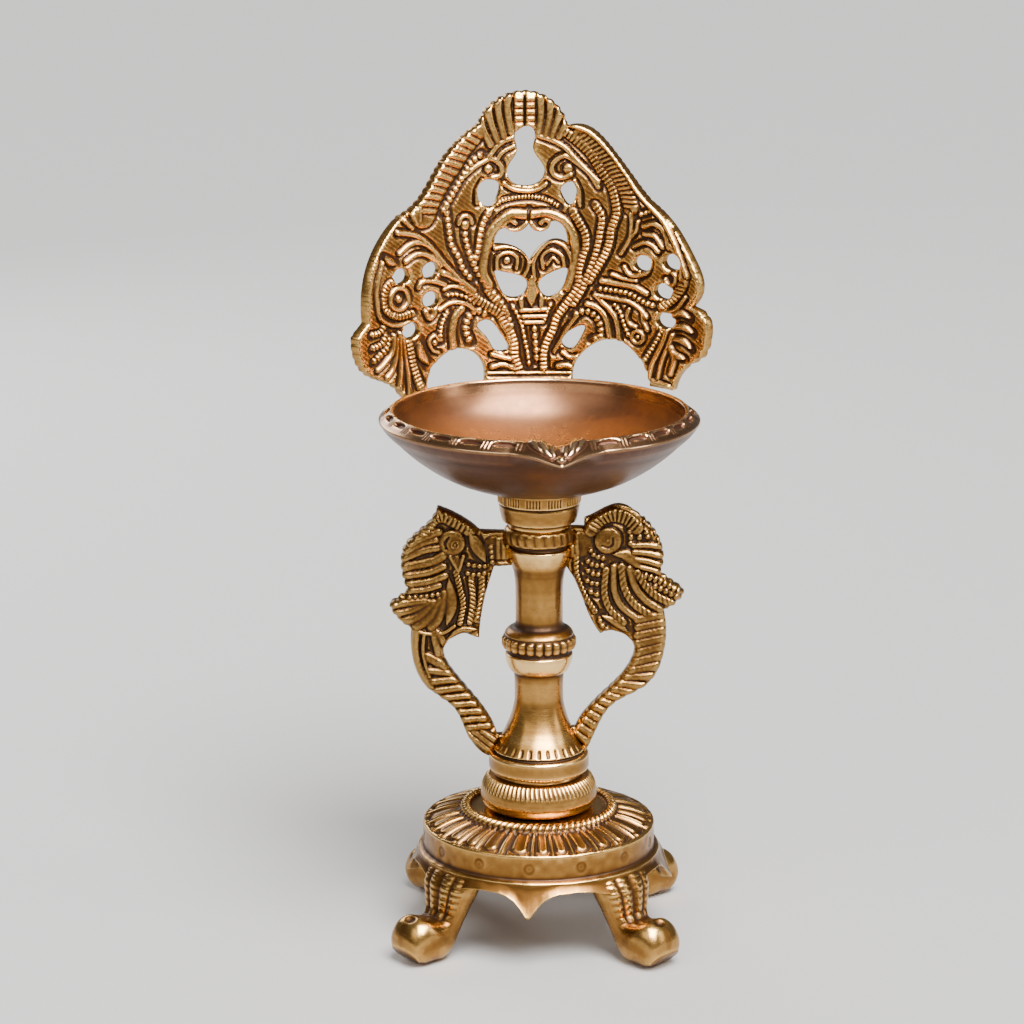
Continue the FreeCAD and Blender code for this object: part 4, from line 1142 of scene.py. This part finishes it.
RIGHT_ARM = [
    ("ridge", 1.32, [[(27.2, 90.2), (34.2, 91.5)], [(27.4, 88), (34.3, 89.4)]]),
    ("ridge", 1.38, [[(27.4, 85.7), (34.3, 87.2)], [(25.6, 75.6), (32.8, 76.9)],
        [(11.6, 59), (15.4, 56.4)], [(10.4, 56.8), (14.2, 54.2)], [(9.2, 54.4), (12.8, 52)]]),
    ("ridge", 1.49, [[(27.3, 83.2), (34.3, 84.9)], [(27, 80.6), (34, 82.5)],
        [(26.4, 78), (33.6, 79.8)]]),
    ("ridge", 1.26, [[(24.4, 73.6), (31.2, 73.9)], [(22.4, 71.8), (29, 71)],
        [(20.6, 70.2), (26.4, 68.8)], [(18.8, 68.5), (23.8, 66.9)], [(17.2, 66.8), (21.4, 65)],
        [(15.6, 64.9), (19.4, 63)], [(14.2, 63), (17.8, 60.9)], [(12.9, 61.1), (16.4, 58.8)]]),
]
RIGHT_BIRD = [
    ("bump", 3.9, 1, 6, [(18.9, 112.8)]),
    ("ladder", 2, 1.25, 0.2, 0.95, [[(14.2, 115.8), (16.9, 118.8), (20.5, 120), (24.3, 118.8),
         (26.8, 116.3)]]),
    ("beads", 0.9, 1.5, [[(24.6, 116.3), (25.2, 113.7), (24.9, 111.2)],
        [(27, 116.4), (27.6, 114.6), (27.4, 112.8)], [(29.2, 115.8), (30, 113.2)]]),
    ("ridge", 0.8, [[(29, 118.4), (31.8, 115.8), (33.4, 112.4)]]),
    ("ridge", 1, [[(26, 111.4), (29.9, 111.5), (34, 111)],
        [(26, 109.5), (29.9, 109.2), (34, 108.3)], [(26.4, 107.5), (30.2, 106.8), (33.8, 105.6)]]),
    ("ridge", 0.9, [[(28.2, 105.2), (31, 104.5), (33.4, 103.6)]]),
    ("ridge", 1.8, 1.05, True, [[(20.2, 109), (24, 108.6), (28.4, 104.8)]]),
    ("ladder", 1.1, 1.6, 0.5, 1, 0.3, [[(18.4, 104.4), (18, 98), (19.6, 93.2), (23.4, 89.4)]]),
    ("ridge", 1.1, [[(20.5, 105.4), (20.7, 98.8), (22.6, 94.2), (26.7, 90.8)]]),
    ("ladder", 1.2, 1.6, 0.5, 1, 0.3, [[(22.6, 105.4), (23.6, 99.2), (26.2, 94.8), (30.2, 91.8)]]),
    ("ridge", 1.2, [[(24.8, 104.8), (26.4, 99.8), (29.2, 96), (33.4, 93)]]),
    ("ladder", 1.2, 1.5, 0.5, 1, 0.4, [[(27, 103.6), (29.4, 99.9), (32.4, 97), (36.6, 94.8)]]),
    ("beads", 1.3, 1.5, 1.1, [[(28.6, 103), (33.3, 101.2), (39.2, 98.2)]]),
    ("beads", 1.1, 1.5, 1.05, [[(31.2, 100), (34.6, 98.6), (38.6, 96.4)]]),
    ("beads", 0.9, 1.6, [[(13.8, 110.6), (15.2, 108.6), (18.2, 107.6)],
        [(12.8, 107.4), (15, 105.8), (18, 105.8)], [(12.8, 104.6), (15.2, 103.2), (17, 103.2)],
        [(12.6, 101.6), (14.8, 100.6), (16.6, 100.4)], [(13.4, 98.6), (15.4, 97.6), (16.8, 97.4)],
        [(16.6, 90.6), (17.4, 88.6), (19.4, 87)]]),
    ("ladder", 0.9, 1.3, 0.3, [[(10.2, 108.4), (10.4, 103), (12.6, 97.2), (15.4, 92.6)]]),
    ("ridge", 1.2, 1, True, [[(17.2, 91.6), (20.7, 89.7), (24.6, 86.8)]]),
    ("ladder", 3.6, 1.5, 0, 0.8, 0.5, [[(11, 111.6), (5, 111)]]),
    ("groove", 0.35, 0.4, [[(17.4, 111.4), (19, 110.9), (20.2, 112), (20.2, 113.6)]]),
    ("bump", 0.6, 1.2, [(18.8, 112.9)]),
]
BRACKET_HALF = 2.5
BRACKET_SPACING = 0.27
BRACKET_GROUND = -0.70
FEATHER_SCALLOPS = [
    (-44.0, -27.0, 89.0, 121.0, 2.5, 0.55),
    (25.0, 44.0, 93.0, 120.0, 2.3, 0.55),
]


def bracket_local(points):
    return np.stack([points[:, 0], points[:, 2], points[:, 1]], axis=1)


def bracket_place(points, height, rear=False):
    side = 1.0 if rear else -1.0
    return np.stack([points[:, 0], side * (BRACKET_HALF + height), points[:, 1]], axis=1)


def make_bracket(name, node_name, strokes):
    """A bracket with the same relief on both of its faces."""
    loops = flat_loops(node_name, bracket_local, lambda p: p[:, 2] > BRACKET_HALF - 0.01)
    loops[0] = scalloped(loops[0], FEATHER_SCALLOPS)
    return casting(name, loops, BRACKET_SPACING, strokes, BRACKET_GROUND, bracket_place,
                   round_width=1.3, round_depth=1.0)


# ---------------------------------------------------------------- base

BASE_YAW = math.radians(-5.0)
WALL_BOTTOM = 24.2
APRON_RADIUS = 33.8
DISC_RADIUS = 32.4
PETAL_COUNT = 28
RING_COUNT = 14


def from_pendant(a):
    """The signed angle from the nearest of the four pendants."""
    return (a - BASE_YAW + math.pi / 4) % (math.pi / 2) - math.pi / 4


def apron_drop(a):
    """How far the apron hangs: 1 at a pendant's point and little at the arches."""
    across = 36.8 * np.abs(np.sin(from_pendant(a)))
    return np.interp(across, (0.0, 0.6, 2.2, 4.0, 6.0, 8.5, 14.0, 18.0, 22.0, 26.0),
                     (1.0, 0.98, 0.74, 0.53, 0.39, 0.30, 0.27, 0.32, 0.46, 0.50))


def base_shape(r, z, a, out):
    """Cut the apron's arches by drawing its lower part up."""
    drop = apron_drop(a)
    below = np.clip(WALL_BOTTOM - z, 0.0, None)
    outer = smoothstep(28.0, 30.0, r)
    z2 = np.where(z < WALL_BOTTOM, WALL_BOTTOM - below * (1 - outer + outer * drop), z)
    flare = np.where((z < WALL_BOTTOM) & (r > 29.0), 0.30 + 0.70 * drop, 1.0)
    r2 = np.where(z < WALL_BOTTOM, APRON_RADIUS + (r - APRON_RADIUS) * flare, r)
    r2 = np.where(r > 29.0, r2, r)
    # a rounded keel down the middle of each pendant
    keel = np.exp(-(from_pendant(a) * 36.0 / 2.2) ** 2) * np.clip(below / 8.0, 0, 1)
    return r2 + 0.9 * keel * (out > 0.2), z2


def base_relief(r, z, a, out):
    """The rope ring, the slope's petals and the wall's small rings."""
    h = np.zeros_like(r)
    top = (z > 30.6) & (r > 18.5)
    turn = a - BASE_YAW
    # rope ring round the seat
    twist = np.abs(np.sin(turn * 36.0 + (r - 20.4) * 1.1)) ** 0.8
    h += top * window(r, 19.2, 21.9, 0.7) * 0.7 * (twist - 0.55)
    # broad petals with rounded ends between narrow ribs, on the slope
    pitch = 27.0 * TURN / PETAL_COUNT
    uneven = turn + 0.035 * np.sin(turn * 5.0) + 0.02 * np.sin(turn * 9.0)
    unit = (uneven * PETAL_COUNT / TURN) % 1.0
    petal = (unit - 0.37) * pitch
    edge = np.hypot(petal, np.clip(r - 29.2, 0.0, None)) - 1.75
    rib = np.abs(((unit - 0.87 + 0.5) % 1.0 - 0.5) * pitch)
    slope = window(r, 22.3, 31.9, 0.7) * top
    h -= slope * 0.80 * np.exp(-(edge / 0.38) ** 2)
    h -= slope * 0.35 * np.clip(1.0 - (petal / 1.5) ** 2, 0, 1) * (edge < 0)
    h -= slope * 0.70 * np.exp(-((rib - 0.72) / 0.30) ** 2)
    # small incised rings on the wall
    sideways = ((turn * RING_COUNT / TURN) % 1.0 - 0.5) * DISC_RADIUS * TURN / RING_COUNT
    ring = np.hypot(sideways, z - 28.0) - 1.2
    worn = 0.35 + 0.65 * value_noise(turn * 28.0 / TURN, z * 0.3, 23)
    wall = (r > DISC_RADIUS - 0.3) & (z > 25.2) & (z < 31.0)
    h -= wall * 0.20 * worn * np.exp(-(ring / 0.45) ** 2)
    h -= wall * 0.15 * np.clip(-ring, 0.0, 1.2)
    h += 0.14 * (value_noise(turn * 96.0 / TURN, z * 0.5 + r * 0.4, 21) - 0.5)
    return h * (r > 18.0) * (z > 14.0)


def base_step(p):
    """Small steps on the slope and the wall, middling ones on the apron, large inside."""
    r, z = p[:, 0], p[:, 1]
    visible = (r > 18.6) & (z > 24.0) & ~((r < 32.0) & (z < 31.0))
    apron = (r > 31.0) & (z <= 24.5)
    return np.where(visible, 0.34, np.where(apron, 0.6, 2.2))


# Outer edge (radius, height), inner edge (radius, height) and width along a leg, from the
# knee under the disc to the upturned toe.
LEG_STATIONS = [
    (30.2, 25.0, 24.4, 24.2, 13.0),
    (33.9, 23.4, 25.2, 21.8, 18.4),
    (36.2, 20.2, 27.0, 18.2, 18.2),
    (36.8, 16.4, 29.0, 14.4, 16.0),
    (37.2, 12.8, 30.8, 10.2, 13.6),
    (39.0, 11.2, 32.2, 6.4, 12.4),
    (41.8, 12.2, 34.4, 2.2, 12.8),
    (44.8, 13.0, 37.4, 0.0, 13.6),
    (47.8, 11.6, 41.0, 0.0, 13.4),
    (49.6, 8.2, 44.4, 0.0, 12.4),
    (49.8, 4.6, 46.4, 0.8, 10.0),
]
LEG_COLUMNS = 96
# The legs' sections are rounded squares: a circle would have the power 1.
LEG_SQUARENESS = 2.0 / 2.7
# The second and fourth leg stand 5.5 degrees past even spacing.
LEG_TURNS = (45.0, 140.5, 225.0, 320.5)


def leg_relief(way, side, front):
    """Strands of beads on the shin and a dimple on the toe, in millimetres."""
    strands = np.abs(np.sin(side * math.pi * 2.0)) ** 0.6
    beads = np.abs(np.sin(way * math.pi / 1.9)) ** 0.6
    beaded = np.where(np.abs(side) < 0.9, 0.55 + 0.45 * beads, 1.0)
    shin = window(way, 4.0, 17.5, 2.0) * smoothstep(0.15, 0.55, front)
    h = shin * (0.80 * strands * beaded - 0.50)
    collar = window(way, 17.8, 19.6, 0.8) * smoothstep(0.0, 0.4, front)
    h += 0.35 * collar * (0.6 + 0.4 * np.abs(np.cos(side * 7.0)))
    dimple = np.hypot(way - 25.6, side * 5.4) / 1.5
    return h - 0.9 * np.clip(1.0 - dimple ** 2, 0, 1) * (front > 0.5)


def make_leg(turn):
    """A leg at this turn about the disc's axis."""
    rows = curve_through(LEG_STATIONS, 0.5)
    outer, inner, width = rows[:, 0:2], rows[:, 2:4], rows[:, 4]
    centre = 0.5 * (outer + inner)
    depth = 0.5 * (outer - inner)
    way = arc_length(outer)[:, None]
    angle = np.arange(LEG_COLUMNS) * TURN / LEG_COLUMNS
    front, side = [np.sign(w) * np.abs(w) ** LEG_SQUARENESS + 0 * way
                   for w in (np.cos(angle), np.sin(angle))]
    swell = 1.0 + leg_relief(way, side, front) / np.linalg.norm(depth, axis=1)[:, None]
    radial = centre[:, 0:1] + depth[:, 0:1] * front * swell
    up = np.maximum(centre[:, 1:2] + depth[:, 1:2] * front * swell, 0.0)
    x, y = turned_by(radial, 0.5 * width[:, None] * side, turn)
    points = np.stack([x, y, up], axis=-1).reshape(-1, 3)
    faces = [tuple(f) for f in grid_faces(len(rows), LEG_COLUMNS)]
    ends = []
    for row in (0, len(rows) - 1):
        ring = [row * LEG_COLUMNS + k for k in range(LEG_COLUMNS)]
        tip = len(points) + len(ends)
        ends.append(points[ring].mean(axis=0))
        faces += [(a, b, tip) for a, b in zip(ring, ring[1:] + ring[:1])]
    thing = new_object("leg", np.vstack([points, ends]), faces)
    face_outward(thing)
    return thing


def make_base():
    disc = turned("four_legged_base", "base_casting", 560, base_step, base_relief,
                  degrees=math.degrees(BASE_YAW), shape=base_shape)
    return union(disc, [make_leg(BASE_YAW + math.radians(turn)) for turn in LEG_TURNS])


# ---------------------------------------------------------------- the bowl's rear lug

LUG_HALF = 5.0


def make_lug():
    """The tab under the bowl's back rim that the plate is screwed to, with soft edges."""
    outline = [(42.8, 134.7), (45.45, 134.7), (45.45, 146.3), (39.6, 146.3), (39.6, 142.6),
               (42.2, 140.6)]
    points = [(x, y, z) for x in (-LUG_HALF, LUG_HALF) for y, z in outline]
    count = len(outline)
    faces = [tuple(range(count)), tuple(range(2 * count - 1, count - 1, -1))]
    faces += [(k, (k + 1) % count, count + (k + 1) % count, count + k) for k in range(count)]
    placed = [turned_by(x, y, PLATE_YAW) + (z,) for x, y, z in points]
    lug = new_object("lug", placed, faces)
    face_outward(lug)
    bm = bmesh.new()
    bm.from_mesh(lug.data)
    bmesh.ops.bevel(bm, geom=bm.edges[:], offset=0.0005, segments=3, affect="EDGES",
                    profile=0.5)
    bm.to_mesh(lug.data)
    bm.free()
    return lug


# ---------------------------------------------------------------- all the pieces

def stem_tone(p, n):
    """The shaft is lighter than the beads and lobes, and the bell lighter still with a painted
    highlight.
    """
    z = p[:, 2]
    beaded = window(z, 80.5, 88.0, 1.0) + window(z, 111.5, 117.0, 1.0)
    # the bell's larger lift is a painted highlight
    bright = 0.14 * window(z, 88.0, 111.0, 2.0) + 0.26 * window(z, 55.5, 79.5, 2.0)
    return bright - 0.20 * beaded


def base_tone(p, n):
    """The seat ring is lightened with painted light against the shade under the spacer; the slope
    and the legs are darker than the wall.
    """
    r = np.hypot(p[:, 0], p[:, 1])
    # painted light on the seat ring, which lies in shade under the spacer
    seat = (r < 19.2) & (p[:, 2] > 30.0)
    slope = (r > 22.0) & (p[:, 2] > 31.0)
    wall = (r > 31.0) & (p[:, 2] > 24.0) & (p[:, 2] < 31.0)
    return 0.42 * seat + 0.10 * wall - 0.04 * slope - 0.02 * (p[:, 2] < 24.0)


stem = turned("stem_turning", "stem", 400, stem_step, stem_relief)
paint_wear_and_shade(stem, tone=stem_tone)
dress(stem, turned_brass, "stem", "stem")

spacer = turned("spacer_ring", "knurled_spacer", 504,
                lambda p: np.where(p[:, 0] < 11.5, 3.0, 0.28), spacer_relief)
paint_wear_and_shade(spacer)
dress(spacer, turned_brass, "stem", "knurled_spacer")

socket = turned("bowl_socket_cup", "bowl_socket", 480, socket_step, socket_relief)
paint_wear_and_shade(socket)
dress(socket, turned_brass, "bowl", "bowl_socket")

bowl = turned("oil_bowl", "bowl", 1008, bowl_step, bowl_relief, degrees=40.0,
              shape=bowl_shape, edit=fair_inside)
bowl = union(bowl, [make_lug()])
paint_wear_and_shade(bowl, tone=bowl_tone)
dress(bowl, bowl_brass, "bowl", "bowl")

plate = make_back_plate()
paint_wear_and_shade(plate, broad=0.40, bias=-0.03)
dress(plate, cast_brass, "bowl", "back_plate")

base = make_base()
paint_wear_and_shade(base, tone=base_tone)
dress(base, cast_brass, "base", "base_casting")

for side, strokes in (("left", LEFT_BIRD + LEFT_ARM), ("right", RIGHT_BIRD + RIGHT_ARM)):
    node_name = side + "_peacock_bracket"
    bracket = make_bracket(side + "_peacock", node_name, strokes)
    paint_wear_and_shade(bracket)
    dress(bracket, aged_brass, "stem", node_name)

for name in ("tie_rod", "base_washer", "base_nut", "bowl_stud", "plate_screw",
             "plate_washer", "plate_nut"):
    give_material(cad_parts[name], fastener_brass)

# ---------------------------------------------------------------- stage

FLOOR_HALF = 3000.0
FLOOR_LEVEL = -0.2
CAMERA_PLACE = (-0.0075, -0.934, 0.355)
CAMERA_TILT = 14.1
CAMERA_LENS = 123.05


def area_light(name, place, aim, size, power, colour=(1, 1, 1)):
    """A rectangular lamp at a place, turned to its aim, all in metres."""
    data = bpy.data.lights.new(name, "AREA")
    data.shape = "RECTANGLE"
    data.size, data.size_y = size
    data.energy = power
    data.color = colour
    lamp = bpy.data.objects.new(name, data)
    lamp.location = place
    lamp.rotation_euler = (Vector(aim) - Vector(place)).to_track_quat("-Z", "Y").to_euler()
    bpy.context.scene.collection.objects.link(lamp)
    return lamp


def plain_material(name, colour, rough):
    material = bpy.data.materials.new(name)
    material.use_nodes = True
    surface = material.node_tree.nodes["Principled BSDF"]
    surface.inputs["Base Color"].default_value = colour + (1.0,)
    surface.inputs["Roughness"].default_value = rough
    return material


def make_stage():
    """A pale floor and soft studio light."""
    corners = [(x * FLOOR_HALF, y * FLOOR_HALF, FLOOR_LEVEL)
               for x, y in ((-1, -1), (1, -1), (1, 1), (-1, 1))]
    floor = new_object("studio_floor", corners, [[0, 1, 2, 3]])
    floor.data.materials.append(plain_material("pale_floor", (0.78, 0.77, 0.76), 0.7))
    # shows only in reflections, mostly as the white patch in the bowl
    window_light = area_light("window", (0.28, -0.46, 0.84), (0.28, 0.0, 0.13), (0.74, 0.84), 75.0)
    window_light.visible_diffuse = False
    area_light("key", (-0.60, -0.75, 0.75), (0, 0, 0.13), (0.90, 0.70), 4.0, (1.0, 0.97, 0.93))
    area_light("side", (0.95, -0.25, 0.45), (0, 0, 0.12), (0.25, 0.60), 2.5, (1.0, 0.98, 0.95))
    area_light("rear", (-0.5, 0.8, 0.5), (0, 0, 0.15), (0.5, 0.4), 3.0)
    # a broad soft sun from above stands for the light of a pale room
    sun = bpy.data.lights.new("room", "SUN")
    sun.energy = 4.6
    sun.angle = math.radians(34.0)
    room = bpy.data.objects.new("room", sun)
    room.rotation_euler = (math.radians(27.0), math.radians(13.0), 0)
    bpy.context.scene.collection.objects.link(room)
    world = bpy.data.worlds.new("studio")
    world.use_nodes = True
    background = world.node_tree.nodes["Background"]
    background.inputs["Color"].default_value = (0.86, 0.80, 0.76, 1)
    background.inputs["Strength"].default_value = 0.20
    bpy.context.scene.world = world


def make_camera():
    """The view from in front, looking down by the tilt."""
    data = bpy.data.cameras.new("camera")
    data.lens = CAMERA_LENS
    data.sensor_width = 36.0
    data.clip_start = 0.01
    camera = bpy.data.objects.new("camera", data)
    camera.location = CAMERA_PLACE
    camera.rotation_euler = (math.radians(90.0 - CAMERA_TILT), 0, 0)
    bpy.context.scene.collection.objects.link(camera)
    bpy.context.scene.camera = camera


make_stage()
make_camera()
